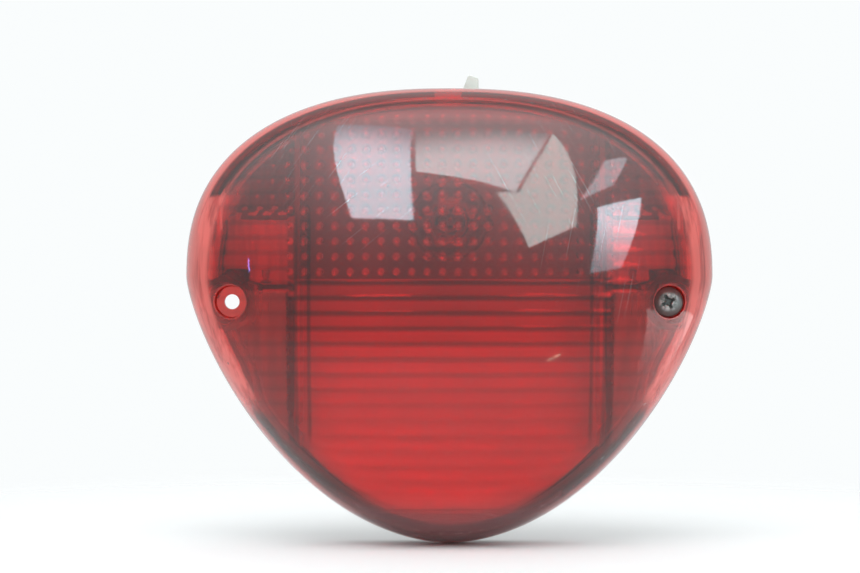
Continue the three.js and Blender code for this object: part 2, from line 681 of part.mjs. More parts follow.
add("earth_tab", earthTab(), BRASS);
add("connector_header", connectorHeader(), NYLON);
["tail", "brake", "earth"].forEach((name, i) => add(`header_blade_${name}`, headerBlade(i - 1), BRASS));
for (const [name, route] of Object.entries(WIRES)) add(name, tube(route, WIRE_RADIUS, 24), RUBBER);

lamp.rotation.x = Math.PI / 2;
const part = new THREE.Group();
part.add(lamp);
export default part;
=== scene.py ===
"""Looks of a red scooter tail lamp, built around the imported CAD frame.

Shapes are written in the lamp's own frame, in millimetres: right, up, and forward out of the lens, with the
screw line at up = 0 and the mounting plane at forward = 0. place() carries that frame into the row frame.
"""

import json
import math

import bmesh
import bpy
import numpy as np
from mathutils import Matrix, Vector

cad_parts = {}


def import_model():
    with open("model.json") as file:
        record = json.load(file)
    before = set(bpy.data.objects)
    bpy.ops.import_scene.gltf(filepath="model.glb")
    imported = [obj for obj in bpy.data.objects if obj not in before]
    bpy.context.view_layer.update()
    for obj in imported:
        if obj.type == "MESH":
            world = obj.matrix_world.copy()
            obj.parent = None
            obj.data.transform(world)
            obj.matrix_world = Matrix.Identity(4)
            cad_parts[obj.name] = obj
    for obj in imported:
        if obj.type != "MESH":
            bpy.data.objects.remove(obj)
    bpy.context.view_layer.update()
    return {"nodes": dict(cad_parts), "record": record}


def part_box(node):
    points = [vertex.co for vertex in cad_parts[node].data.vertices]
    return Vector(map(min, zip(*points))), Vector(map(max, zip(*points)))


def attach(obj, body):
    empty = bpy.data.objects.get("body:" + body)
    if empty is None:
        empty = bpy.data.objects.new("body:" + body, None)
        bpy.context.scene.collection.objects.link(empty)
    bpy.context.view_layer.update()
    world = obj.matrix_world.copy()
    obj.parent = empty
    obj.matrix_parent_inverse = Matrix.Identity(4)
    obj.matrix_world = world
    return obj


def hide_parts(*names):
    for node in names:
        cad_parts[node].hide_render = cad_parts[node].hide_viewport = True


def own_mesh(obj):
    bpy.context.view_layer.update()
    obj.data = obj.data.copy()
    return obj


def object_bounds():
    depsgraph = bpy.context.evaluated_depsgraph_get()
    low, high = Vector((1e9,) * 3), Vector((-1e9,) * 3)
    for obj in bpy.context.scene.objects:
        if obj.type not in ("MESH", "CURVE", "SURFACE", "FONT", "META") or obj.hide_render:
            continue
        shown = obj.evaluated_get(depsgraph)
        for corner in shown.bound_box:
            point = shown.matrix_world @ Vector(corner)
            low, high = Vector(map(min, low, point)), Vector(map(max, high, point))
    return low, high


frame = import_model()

MM = 0.001
SIDES = (-1, 1)


# ---------------------------------------------------------------- helpers
def place(points):
    """Lamp frame in millimetres to row frame in metres."""
    points = np.asarray(points, float).reshape(-1, 3)
    return np.stack([points[:, 0], -points[:, 2], points[:, 1]], axis=1) * MM


def lamp_box(node):
    """A CAD node's lowest and highest corners in the lamp frame, in millimetres."""
    low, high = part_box(node)
    return np.array([low.x, low.z, -high.y]) / MM, np.array([high.x, high.z, -low.y]) / MM


def new_object(name, data):
    made = bpy.data.objects.new(name, data)
    bpy.context.scene.collection.objects.link(made)
    return made


def mesh_object(name, points, faces):
    """An object whose points are given in the lamp frame. Faces are turned to point outwards."""
    mesh = bpy.data.meshes.new(name)
    mesh.from_pydata(place(points).tolist(), [], faces)
    made = new_object(name, mesh)
    work = bmesh.new()
    work.from_mesh(mesh)
    bmesh.ops.recalc_face_normals(work, faces=work.faces)
    work.to_mesh(mesh)
    work.free()
    return made


def applied(made):
    """The object's mesh with its modifiers applied."""
    graph = bpy.context.evaluated_depsgraph_get()
    mesh = bpy.data.meshes.new_from_object(made.evaluated_get(graph))
    made.modifiers.clear()
    made.data = mesh
    return made


def cut(made, tools, operation="DIFFERENCE"):
    """Applies a boolean with each tool in turn, and removes the tools."""
    for tool in tools:
        boolean = made.modifiers.new("cut", "BOOLEAN")
        boolean.operation = operation
        boolean.solver = "MANIFOLD"
        boolean.object = tool
        applied(made)
    for tool in tools:
        bpy.data.objects.remove(tool)
    return made


def joined(made, others):
    return cut(made, others, "UNION")


def crisp(made, name, degrees=32):
    """Smooth shading, with edges sharper than the given angle kept."""
    made.name = name
    mesh = made.data
    mesh.shade_smooth()
    mesh.set_sharp_from_angle(angle=math.radians(degrees))
    return made


def rounded(points, size, closed=False, steps=4):
    """A path with each corner replaced by a small curve. Where closed is false its ends stay."""
    points = [np.asarray(p, float) for p in points]
    count = len(points)
    result = []
    for i, corner in enumerate(points):
        if not closed and i in (0, count - 1):
            result.append(corner)
            continue
        before, after = points[i - 1] - corner, points[(i + 1) % count] - corner
        reach = [min(size, 0.42 * np.linalg.norm(arm)) for arm in (before, after)]
        start = corner + before / np.linalg.norm(before) * reach[0]
        end = corner + after / np.linalg.norm(after) * reach[1]
        for step in range(steps + 1):
            t = step / steps
            result.append((1 - t) ** 2 * start + 2 * t * (1 - t) * corner + t**2 * end)
    return result


def numbered(rows, count):
    """Point numbers of rings that follow one another."""
    return [[row * count + i for i in range(count)] for row in range(rows)]


def strips(rings):
    """Faces between neighbouring rings of point numbers. A ring may be one point repeated."""
    faces = []
    for low, high in zip(rings, rings[1:]):
        for i in range(len(low)):
            j = (i + 1) % len(low)
            face = list(dict.fromkeys([low[i], low[j], high[j], high[i]]))
            if len(face) > 2:
                faces.append(face)
    return faces


def lathe(name, profile, right=0.0, up=0.0, sides=72, soft=0.0):
    """A profile of (radius, forward) points turned about the forward axis through (right, up)."""
    closed = profile[0][0] > 0
    if soft:
        profile = rounded(profile, soft, closed)
    points, rings = [], []
    for radius, forward in profile:
        if radius < 1e-6:
            rings.append([len(points)] * sides)
            points.append((right, up, forward))
            continue
        rings.append([len(points) + i for i in range(sides)])
        for i in range(sides):
            angle = 2 * math.pi * i / sides
            points.append((right + radius * math.cos(angle), up + radius * math.sin(angle), forward))
    if closed:
        rings.append(rings[0])
    return mesh_object(name, points, strips(rings))


def rod(right, up, radius, low, high, sides=72, soft=0.0):
    return lathe("rod", [(0, low), (radius, low), (radius, high), (0, high)], right, up, sides, soft)


def prism(loop, low, high, soft=0.0):
    """A flat outline given thickness, with its two rims rounded by soft."""
    loop = np.asarray(loop, float)
    rows = [(0.0, low), (0.0, high)]
    if soft:
        quarter = [math.pi / 2 * k / 3 for k in range(4)]
        rows = [(soft * (1 - math.sin(a)), low + soft * (1 - math.cos(a))) for a in quarter]
        rows += [(inward, low + high - forward) for inward, forward in reversed(rows)]
    count = len(loop)
    points = []
    for inward, forward in rows:
        ring = inset(loop, inward) if inward > 1e-9 else loop
        points += [(x, y, forward) for x, y in ring]
    last = (len(rows) - 1) * count
    faces = [list(range(count))[::-1], list(range(last, last + count))]
    return mesh_object("prism", points, faces + strips(numbered(len(rows), count)))


def block(rights, ups, forwards, soft=0.0):
    """A box, with every edge rounded by soft."""
    loop = [(rights[0], ups[0]), (rights[1], ups[0]), (rights[1], ups[1]), (rights[0], ups[1])]
    if soft:
        loop = rounded(loop, 1.6 * soft, closed=True)
    return prism(loop, *forwards, soft=soft)


def ring(section, soft=0.25):
    """A closed section of (inset, forward) points carried round the housing's outline."""
    section = rounded(section, soft, closed=True) if soft else section
    points = []
    for inward, forward in section:
        points += [(x, y, forward) for x, y in inset(RIM, inward)]
    rings = numbered(len(section), len(RIM))
    return mesh_object("ring", points, strips([*rings, rings[0]]))


def tube(name, route, radius, steps=0, sides=20):
    """A round solid along a smooth route. With no steps it keeps the route's own points, as a coil needs."""
    route = np.asarray(route, float)
    path = smooth_route(route, steps) if steps else route
    count = len(path)
    along = np.gradient(path, axis=0)
    along /= np.linalg.norm(along, axis=1)[:, None]
    side = np.cross(along[0], [0.3, 0.5, 0.81])
    points = []
    for k in range(count):
        side = side - along[k] * side.dot(along[k])
        side /= np.linalg.norm(side)
        other = np.cross(along[k], side)
        for i in range(sides):
            angle = 2 * math.pi * i / sides
            points.append(path[k] + radius * (math.cos(angle) * side + math.sin(angle) * other))
    faces = [list(range(sides))[::-1], list(range((count - 1) * sides, count * sides))]
    return mesh_object(name, points, faces + strips(numbered(count, sides)))


def smooth_route(route, steps):
    """Evenly spaced points on a Catmull-Rom curve through the given ones."""
    padded = np.vstack([2 * route[0] - route[1], route, 2 * route[-1] - route[-2]])
    fine = []
    for a, b, c, d in zip(padded, padded[1:], padded[2:], padded[3:]):
        for t in np.linspace(0, 1, 24, endpoint=False):
            second = (2 * a - 5 * b + 4 * c - d) * t**2
            third = (3 * b - a - 3 * c + d) * t**3
            fine.append(0.5 * (2 * b + (c - a) * t + second + third))
    fine = np.array(fine + [route[-1]])
    length = np.concatenate([[0], np.cumsum(np.linalg.norm(np.diff(fine, axis=0), axis=1))])
    at = np.linspace(0, length[-1], steps + 1)
    return np.stack([np.interp(at, length, fine[:, axis]) for axis in range(3)], axis=1)


# ---------------------------------------------------------------- the lens's shape
LENS_LOW, LENS_HIGH = lamp_box("lens")
HALF_WIDTH = (LENS_HIGH[0] - LENS_LOW[0]) / 2
WAIST = 7.6
RISE_UP = LENS_HIGH[1] - WAIST
RISE_DOWN = WAIST - LENS_LOW[1]
TOP_POWER, LOWER_POWER_X, LOWER_POWER_Y = 2.4, 1.92, 1.37
LENS_BACK = LENS_LOW[2]
LENS_DEPTH = LENS_HIGH[2] - LENS_BACK
EDGE_POWER = 2.6
LENS_WALL = 2.6
CROWN_UP, CROWN_WIDE, CROWN_HIGH = 4.0, 80.0, 68.0
SCREW_LOW, SCREW_HIGH = lamp_box("lens_screw")
WELL_X = (SCREW_LOW[0] + SCREW_HIGH[0]) / 2
SEAT = lamp_box("screw_washer")[1][2] + 0.05
WELL_FLOOR = lamp_box("screw_washer")[0][2] - 0.05
WELL_FLOOR_WALL = 2.5
WELL_BORE, WELL_OUTSIDE, WELL_HOLE = 5.1, 6.9, 2.3
POST_BORE, POST_OUTSIDE = 6.4, 8.4
FAR = LENS_BACK + LENS_DEPTH + 10


def outline(count):
    """The lens's outline as evenly spaced (right, up) points, counter-clockwise from the bottom."""
    angle = np.linspace(-math.pi / 2, math.pi / 2, 2000)
    across = np.abs(np.cos(angle))
    rise = np.abs(np.sin(angle))
    above = angle >= 0
    right = HALF_WIDTH * across ** (2 / np.where(above, TOP_POWER, LOWER_POWER_X))
    up = np.where(
        above,
        WAIST + RISE_UP * rise ** (2 / TOP_POWER),
        WAIST - RISE_DOWN * rise ** (2 / LOWER_POWER_Y),
    )
    half = np.stack([right, up], axis=1)
    loop = np.concatenate([half, (half[1:-1] * [-1, 1])[::-1], half[:1]])
    along = np.concatenate([[0], np.cumsum(np.hypot(*np.diff(loop, axis=0).T))])
    at = np.linspace(0, along[-1], count, endpoint=False)
    return np.stack([np.interp(at, along, loop[:, 0]), np.interp(at, along, loop[:, 1])], axis=1)


def inset(loop, distance):
    """A loop moved inwards by a distance, or by one distance for each point."""
    loop = np.asarray(loop, float)
    tangent = np.roll(loop, -1, axis=0) - np.roll(loop, 1, axis=0)
    tangent /= np.hypot(*tangent.T)[:, None]
    inward = np.stack([-tangent[:, 1], tangent[:, 0]], axis=1)
    return loop + inward * np.broadcast_to(np.asarray(distance, float), len(loop))[:, None]


def dome_points(rim, wall, rows):
    """Rings of the dome from its crown to its rim, by the same formula as the CAD's."""
    out = rim - [0, CROWN_UP]
    reach = np.hypot(*out.T)
    unit = out / reach[:, None]
    crown = 1 / np.hypot(unit[:, 0] / (CROWN_WIDE - wall), unit[:, 1] / (CROWN_HIGH - wall))
    rings = []
    for row in range(1, rows + 1):
        angle = math.pi / 2 * row / rows
        share = math.sin(angle)
        height = (LENS_DEPTH - wall) * max(math.cos(angle), 0) ** (2 / EDGE_POWER)
        radius = share * (crown + (reach - crown) * share**2)
        forward = np.full(len(rim), LENS_BACK + height)
        rings.append(np.column_stack([unit * radius[:, None] + [0, CROWN_UP], forward]))
    return rings


def dome(name, wall, back, count=288, rows=64):
    """The solid under the dome, with a flat rear face."""
    rings = dome_points(inset(outline(count), wall), wall, rows)
    rings[-1][:, 2] = back
    crown = [0, CROWN_UP, LENS_BACK + LENS_DEPTH - wall]
    points = [crown, *np.concatenate(rings).tolist(), [0, CROWN_UP, back]]
    faces = []
    last = len(points) - 1
    for i in range(count):
        j = (i + 1) % count
        faces.append([0, 1 + i, 1 + j])
        for row in range(rows - 1):
            a, b = 1 + row * count, 1 + (row + 1) * count
            faces.append([a + i, b + i, b + j, a + j])
        faces.append([last, last - count + j, last - count + i])
    return mesh_object(name, points, faces)


def dome_height(right, up, wall):
    """Height of the dome under a given wall at each (right, up), and the share of the way out to the rim."""
    dx, dy = right, up - CROWN_UP
    radius = np.maximum(np.hypot(dx, dy), 1e-9)
    unit_x, unit_y = dx / radius, dy / radius
    rim = inset(outline(1440), wall)
    bearing = np.arctan2(rim[:, 1] - CROWN_UP, rim[:, 0])
    order = np.argsort(bearing)
    far_out = np.hypot(rim[:, 0], rim[:, 1] - CROWN_UP)[order]
    reach = np.interp(np.arctan2(dy, dx), bearing[order], far_out, period=2 * math.pi)
    crown = 1 / np.hypot(unit_x / (CROWN_WIDE - wall), unit_y / (CROWN_HIGH - wall))
    low, high = np.zeros_like(radius), np.ones_like(radius)
    for _ in range(24):
        share = (low + high) / 2
        inside = share * (crown + (reach - crown) * share**2) < radius
        low = np.where(inside, share, low)
        high = np.where(inside, high, share)
    height = (LENS_DEPTH - wall) * np.sqrt(np.maximum(1 - low**2, 0)) ** (2 / EDGE_POWER)
    return LENS_BACK + height, low


# ---------------------------------------------------------------- lens
PITCH = 4.6
GRID = PITCH / 9
DOT_RADIUS, DOT_SAG = 1.3, 0.45
FLUTE_SAG, FLUTE_SHIFT = 0.34, -1.1
FINE_SAG = 0.16
DOTS_ABOVE = 6.9
CENTRE_HALF = 49.0
WING_LOW, WING_HIGH = 3.5, 27.0
FADE_FROM, FADE_TO = 0.84, 0.95


def nearest(value, pitch, offset=0.0):
    """Distance to the nearest of evenly spaced lines."""
    return np.abs((value - offset + pitch / 2) % pitch - pitch / 2)


def optic_relief(right, up):
    """How far the optics stand in from the wall: dots above, level flutes below, upright ones beside."""
    apart = np.hypot(nearest(right, PITCH, PITCH / 2), nearest(up, PITCH))
    dots = DOT_SAG * np.maximum(1 - (apart / DOT_RADIUS) ** 2, 0)
    flutes = FLUTE_SAG * (1 - (2 * nearest(up, PITCH, FLUTE_SHIFT) / PITCH) ** 2)
    fine = FINE_SAG * (1 - (4 * nearest(right, PITCH / 2) / PITCH) ** 2)
    central = np.abs(right) < CENTRE_HALF
    below = np.where(central, flutes, fine)
    relief = np.where((up > DOTS_ABOVE) & (central | (up > WING_HIGH)), dots, below)
    wing = ~central & (up > WING_LOW) & (up <= WING_HIGH)
    return np.where(wing, 0.6 * flutes, relief)


def optic_solid():
    """A block whose front follows the inside of the dome less the optics, and stands clear near the rim."""
    rights = np.arange(-16 * PITCH, 16 * PITCH + 0.01, GRID)
    ups = np.arange(-14 * PITCH, 13 * PITCH + 0.01, GRID)
    grid_x, grid_y = np.meshgrid(rights, ups)
    height, share = dome_height(grid_x, grid_y, LENS_WALL)
    fade = np.clip((share - FADE_FROM) / (FADE_TO - FADE_FROM), 0, 1)
    front = height - optic_relief(grid_x, grid_y) * (1 - fade) + 4 * fade**2
    front = np.where(share < FADE_TO, front, FAR)
    wide, tall = len(rights), len(ups)
    points = np.stack([grid_x, grid_y, front], axis=2).reshape(-1, 3).tolist()
    index = lambda row, column: row * wide + column
    faces = [
        [index(r, c), index(r, c + 1), index(r + 1, c + 1), index(r + 1, c)]
        for r in range(tall - 1)
        for c in range(wide - 1)
    ]
    loop = [index(0, c) for c in range(wide)]
    loop += [index(r, wide - 1) for r in range(1, tall)]
    loop += [index(tall - 1, c) for c in range(wide - 2, -1, -1)]
    loop += [index(r, 0) for r in range(tall - 2, 0, -1)]
    start = len(points)
    points += [[points[i][0], points[i][1], LENS_BACK - 5] for i in loop]
    count = len(loop)
    for i in range(count):
        j = (i + 1) % count
        faces.append([loop[j], loop[i], start + i, start + j])
    faces.append([start + i for i in range(count)][::-1])
    return mesh_object("optics", points, faces)


HOUSING_INSET, SIDE_INSET, SIDE_FROM, SIDE_TO = 3.3, 4.6, 22.0, 38.0
HOUSING_FRONT, WALL_FROM, WALL_TO, FLANGE_FROM = 14.0, 1.5, 3.5, 11.8
SEAL_LOW, SEAL_HIGH = (lamp_box("lens_seal")[i][2] for i in (0, 1))
RIB_BACK = SEAL_HIGH + 0.3


def housing_loop(count=288):
    """The housing's outline: inside the lens rim, and further in where the rim stands clear at the sides."""
    lens_loop = outline(count)
    rise = np.clip((np.abs(lens_loop[:, 1]) - SIDE_FROM) / (SIDE_TO - SIDE_FROM), 0, 1)
    side_share = 1 - rise**2 * (3 - 2 * rise)
    return inset(lens_loop, HOUSING_INSET + SIDE_INSET * side_share)


RIM = housing_loop()


def collared(made, outer, low, high, soft=0.0):
    """Adds a rounded wall round each screw passage to a ring, and opens the passages."""
    for side in SIDES:
        collar = rod(side * WELL_X, 0, POST_OUTSIDE, low, high, 96, soft)
        cut(collar, [prism(inset(RIM, outer), low - 1, high + 1)], "INTERSECT")
        joined(made, [collar])
    return cut(made, [rod(side * WELL_X, 0, POST_BORE, low - 1, high + 1, 96) for side in SIDES])


def make_lens():
    """The red shell with its inner optics, rear rib and screw wells."""
    cavity = dome("cavity", LENS_WALL, LENS_BACK - 1)
    cut(cavity, [optic_solid()], "INTERSECT")
    made = dome("lens_shell", 0, LENS_BACK)
    cut(made, [cavity])
    under = WELL_FLOOR - WELL_FLOOR_WALL
    rib = ring([(0.9, RIB_BACK), (0.9, FAR), (2.9, FAR), (2.9, RIB_BACK)])
    inner = [collared(rib, 0.9, RIB_BACK, FAR)]
    for side in SIDES:
        inner.append(rod(side * WELL_X, 0, WELL_OUTSIDE, under, FAR, 96))
        inner.append(rod(side * WELL_X, 0, POST_OUTSIDE, RIB_BACK, WELL_FLOOR, 96))
    for piece in inner:
        cut(piece, [dome("clip", 0, LENS_BACK)], "INTERSECT")
    joined(made, inner)
    for side in SIDES:
        x = side * WELL_X
        mouth = [(0, WELL_FLOOR), (WELL_BORE - 0.4, WELL_FLOOR), (WELL_BORE, WELL_FLOOR + 0.4)]
        tools = [
            lathe("well", [*mouth, (WELL_BORE, FAR), (0, FAR)], x, 0, 96),
            rod(x, 0, WELL_HOLE, RIB_BACK - 1, FAR, 64),
            rod(x, 0, POST_BORE, RIB_BACK - 1, under, 96),
        ]
        cut(made, tools)
    return crisp(made, "lens_shell")


# ---------------------------------------------------------------- housing, seal and reflector
BULB_UP = 25.0
VENT_HALF = 4.2
SOCKET_HOLE, RIVET_X, RIVET_HOLE = 9.1, 11.5, 1.7
PAD_RADIUS = 7.0
RIB_THICK, RIB_LONG = 1.6, 90.0
RIB_ANGLES = (-150, -115, -90, -65, -30, 0, 180)
STAKE_X, STAKE_UP, STAKE_POST, STAKE_HEAD, STAKE_SHOULDER = 57.5, 6.8, 1.2, 1.9, 2.7
SHEET = 1.6
WING_BACK = 9.0
WING_FRONT = WING_BACK + SHEET
HEADER_LOW, HEADER_HIGH = lamp_box("connector_header")


def stake(side):
    """A post through the reflector's wing, mushroomed over it."""
    x, head = side * STAKE_X, WING_FRONT + 0.3
    made = rod(x, STAKE_UP, STAKE_POST, WALL_FROM, head + 0.2, 32)
    shoulder = rod(x, STAKE_UP, STAKE_SHOULDER, WALL_FROM, WING_BACK - 0.3, 48)
    mushroom = [(0, head), (STAKE_HEAD, head), (STAKE_HEAD * 0.9, head + 0.6), (0, head + 1)]
    return joined(made, [shoulder, lathe("mushroom", mushroom, x, STAKE_UP, 48, 0.5)])


def header_rail(side):
    """One of the two rails that the connector header slides between."""
    middle = (HEADER_LOW[0] + HEADER_HIGH[0]) / 2
    half = (HEADER_HIGH[0] - HEADER_LOW[0]) / 2
    near = middle + side * (half + 0.3)
    back = HEADER_LOW[2] - 0.3
    wall = block(sorted((near, near + side * 1.8)), (50, 60), (back - 1.4, WALL_FROM + 0.4), 0.2)
    lip = block(sorted((near - side * 1.2, near + side * 1.7)), (50, 60), (back - 1.4, back), 0.2)
    return joined(wall, [lip])


def rear_rib(degrees):
    """A stiffening rib on the back, from the pad out to the footing ring."""
    made = block((0, RIB_LONG), (-RIB_THICK / 2, RIB_THICK / 2), (0.02, WALL_TO - 0.5), 0.15)
    made.rotation_euler = (0, math.radians(-degrees), 0)
    bpy.context.view_layer.update()
    made.data.transform(made.matrix_world)
    made.rotation_euler = (0, 0, 0)
    cut(made, [prism(inset(RIM, 2.0), -1, WALL_TO)], "INTERSECT")
    return cut(made, [rod(0, BULB_UP, 15.5, -1, WALL_FROM + 0.5, 96)])


def make_housing():
    section = [(0, 0), (0, HOUSING_FRONT), (3.6, HOUSING_FRONT), (3.6, FLANGE_FROM), (2.2, FLANGE_FROM)]
    section += [(2.2, 2.6), (4.5, 2.6), (4.5, 0)]
    made = joined(ring(section, 0.35), [prism(inset(RIM, 1.0), WALL_FROM, WALL_TO)])
    for side in SIDES:
        collar = rod(side * WELL_X, 0, POST_OUTSIDE, 0.01, HOUSING_FRONT - 0.01, 96, 0.3)
        cut(collar, [prism(inset(RIM, 0.05), -1, FAR)], "INTERSECT")
        joined(made, [collar])
    extras = [rod(0, 0, PAD_RADIUS, 0, WALL_TO - 0.3, 96, 0.3)]
    extras += [rear_rib(degrees) for degrees in RIB_ANGLES]
    extras += [stake(side) for side in SIDES] + [header_rail(side) for side in SIDES]
    joined(made, extras)
    tools = [rod(side * WELL_X, 0, POST_BORE - 0.2, -1, FAR, 96) for side in SIDES]
    tools += [rod(side * RIVET_X, BULB_UP, RIVET_HOLE, -1, WALL_TO + 1, 48) for side in SIDES]
    tools.append(rod(0, BULB_UP, SOCKET_HOLE, -1, WALL_TO + 1, 96))
    slot = (-VENT_HALF, VENT_HALF)
    tools.append(block(slot, (50, 80), (WALL_TO + 2, FAR)))
    tools.append(block(slot, (-90, -60), (WALL_TO, WALL_TO + 4)))
    return crisp(cut(made, tools), "housing_shell")


def make_seal():
    """The foam strip in the housing's rim, slightly squashed along the middle by the lens's rib."""
    crush = 0.25
    section = [(0.4, SEAL_LOW), (0.4, SEAL_HIGH), (0.9, SEAL_HIGH), (1.2, SEAL_HIGH - crush)]
    section += [(2.6, SEAL_HIGH - crush), (2.9, SEAL_HIGH), (3.3, SEAL_HIGH), (3.3, SEAL_LOW)]
    made = collared(ring(section, 0.3), 0.4, SEAL_LOW, SEAL_HIGH, 0.3)
    slot = (-VENT_HALF, VENT_HALF)
    return crisp(cut(made, [block(slot, (50, 80), (SEAL_LOW - 1, SEAL_HIGH + 1))]), "foam_seal")


TROUGH_HALF, TROUGH_FLOOR, TROUGH_RISE = 47.5, 5.2, 15.0
TROUGH_LOW, TROUGH_HIGH, TROUGH_FRONT = -64.0, 60.0, 30.0
TROUGH_POWER = 2.2
REFLECTOR_EDGE, REFLECTOR_HOLE = 4.2, 11.5


def trough_line(steps=72):
    """The reflector's rear surface as (up, forward) points."""
    up = np.linspace(TROUGH_LOW, TROUGH_HIGH, steps + 1)
    below, above = (BULB_UP - up) / (BULB_UP - TROUGH_LOW), (up - BULB_UP) / (TROUGH_HIGH - BULB_UP)
    run = np.where(up < BULB_UP, below, above)
    return np.stack([up, TROUGH_FLOOR + TROUGH_RISE * run**TROUGH_POWER], axis=1)


def across(section, rights):
    """A section of (up, forward) points carried sideways from one right to another."""
    count = len(section)
    points = [(rights[0], u, f) for u, f in section] + [(rights[1], u, f) for u, f in section]
    faces = [list(range(count)), list(range(count, 2 * count))[::-1]]
    faces += [[i, (i + 1) % count, count + (i + 1) % count, count + i] for i in range(count)]
    return mesh_object("across", points, faces)


def make_reflector():
    """A trough behind the bulb between two upright walls, with a flat wing out to each side."""
    line = trough_line()
    made = across([*line, *(line + [0, SHEET])[::-1]], (-TROUGH_HALF, TROUGH_HALF))
    parts = []
    for side in SIDES:
        wall = (*line, (TROUGH_HIGH, TROUGH_FRONT), (TROUGH_LOW, TROUGH_FRONT))
        parts.append(across(wall, sorted((side * (TROUGH_HALF - SHEET), side * (TROUGH_HALF + 0.01)))))
        rights = sorted((side * (TROUGH_HALF - SHEET / 2), side * 90))
        parts.append(block(rights, (WING_LOW, WING_HIGH), (WING_BACK, WING_FRONT), 0.3))
    joined(made, parts)
    room = prism(inset(RIM, REFLECTOR_EDGE), 0, FAR)
    cut(room, [dome("clear", LENS_WALL + 2.4, 0, 144, 32)], "INTERSECT")
    cut(made, [room], "INTERSECT")
    tools = [rod(side * WELL_X, 0, POST_OUTSIDE + 1, 0, FAR, 96) for side in SIDES]
    tools += [rod(side * STAKE_X, STAKE_UP, STAKE_POST + 0.3, 0, FAR, 32) for side in SIDES]
    tools.append(rod(0, BULB_UP, REFLECTOR_HOLE, 0, FAR, 96))
    return crisp(cut(made, tools), "reflector_pan")


# ---------------------------------------------------------------- screw and washer
HEAD, HEAD_EDGE, HEAD_CROWN = 4.75, 1.3, 3.0
THREAD_MAJOR, THREAD_MINOR, THREAD_PITCH, PLAIN = 2.1, 1.6, 2.4, 12.0
RECESS_TURN = 0.45


def thread(tip, top):
    """A helical thread on its core, from the tip up to the plain shank, as rings of points that spiral."""
    per_turn, across_pitch = 40, 10
    turns = (top - tip) / THREAD_PITCH
    points = []
    rows = int(turns * across_pitch)
    for row in range(rows + 1):
        forward = tip + (top - tip) * row / rows
        point = min(1.0, (forward - tip) / 5)
        ease = min(1.0, (top - forward) / 2.0)
        for i in range(per_turn):
            phase = (forward / THREAD_PITCH + i / per_turn) % 1
            crest = max(0.0, 1 - abs(phase - 0.5) / 0.28) * ease
            radius = (THREAD_MINOR + (THREAD_MAJOR - THREAD_MINOR) * crest) * max(point, 0.12)
            angle = -2 * math.pi * i / per_turn
            points.append((WELL_X + radius * math.cos(angle), radius * math.sin(angle), forward))
    rings = numbered(rows + 1, per_turn)
    return mesh_object("thread", points, [*strips(rings), rings[0][::-1], rings[-1]])


def cross_recess(top):
    """The tapered cross in the screw's head, as two crossed wedges and a worn round middle."""
    tools = []
    for turn in (0, math.pi / 2):
        angle = turn + RECESS_TURN
        along = np.array([math.cos(angle), math.sin(angle)])
        over = np.array([-along[1], along[0]])
        points = []
        for forward, long, wide in ((top - 2.3, 1.0, 0.3), (top + 0.5, 2.9, 0.62)):
            for a, b in ((1, 1), (1, -1), (-1, -1), (-1, 1)):
                corner = along * long * a + over * wide * b
                points.append((WELL_X + corner[0], corner[1], forward))
        rings = numbered(2, 4)
        tools.append(mesh_object("wing", points, rings + strips(rings)))
    worn = [(0, top - 2.4), (0.9, top - 1.6), (1.5, top + 0.5), (0, top + 0.5)]
    return [*tools, lathe("worn", worn, WELL_X, 0, 32)]


def make_screw():
    tip, top = SCREW_LOW[2], SEAT + HEAD_CROWN
    shank = SEAT - PLAIN
    profile = [(0, shank - 0.6), (THREAD_MINOR, shank - 0.6), (THREAD_MINOR, SEAT), (HEAD, SEAT)]
    profile += [(HEAD, SEAT + HEAD_EDGE), (HEAD * 0.93, top - 0.9), (HEAD * 0.62, top - 0.15), (0, top)]
    made = lathe("screw", profile, WELL_X, 0, 96, 0.35)
    cut(made, cross_recess(top))
    joined(made, [thread(tip, shank)])
    return crisp(made, "cross_head_screw")


def make_washer():
    low, high = WELL_FLOOR + 0.05, SEAT - 0.05
    profile = [(2.4, low), (2.4, high), (4.75, high), (4.75, low)]
    return crisp(lathe("washer", profile, WELL_X, 0, 96, 0.18), "flat_washer")


# ---------------------------------------------------------------- bulb
BASE, BASE_FROM, BASE_TO, NECK = 7.5, -12.0, 5.0, 6.9
GLASS, GLASS_WALL = 12.5, 0.8
PIN_RADIUS, PIN_REACH = 1.0, 8.5
PIN_AT = {"bayonet_pin_upper": (1, -4.6), "bayonet_pin_lower": (-1, -7.4)}
CONTACT_X = 3.0
FILAMENTS = {"brake": (26.0, 1.6, 3.2), "tail": (22.4, -1.8, 2.6)}
COIL_RADIUS, COIL_WIRE, LEAD_WIRE = 0.42, 0.1, 0.22


def make_bulb_glass():
    """The hollow envelope, whose profile runs out to the axis along the outside and back along the inside."""
    centre = lamp_box("bulb_glass")[1][2] - GLASS
    low, inside = BASE_TO - 3, GLASS - GLASS_WALL
    outer = [(NECK, low), (NECK, BASE_TO + 1), (NECK + 1.2, BASE_TO + 4)]
    inner = [(NECK - GLASS_WALL, low), (NECK - GLASS_WALL, BASE_TO + 1.2), (NECK + 0.4, BASE_TO + 4.3)]
    for angle in np.linspace(-0.42, math.pi / 2, 28):
        wide, high = max(math.cos(angle), 0), math.sin(angle)
        outer.append((GLASS * wide, centre + GLASS * high))
        inner.append((inside * wide, centre + inside * high))
    profile = rounded(outer, 0.8) + rounded(inner, 0.8)[::-1]
    return crisp(lathe("envelope", profile, 0, BULB_UP, 96), "bulb_envelope")


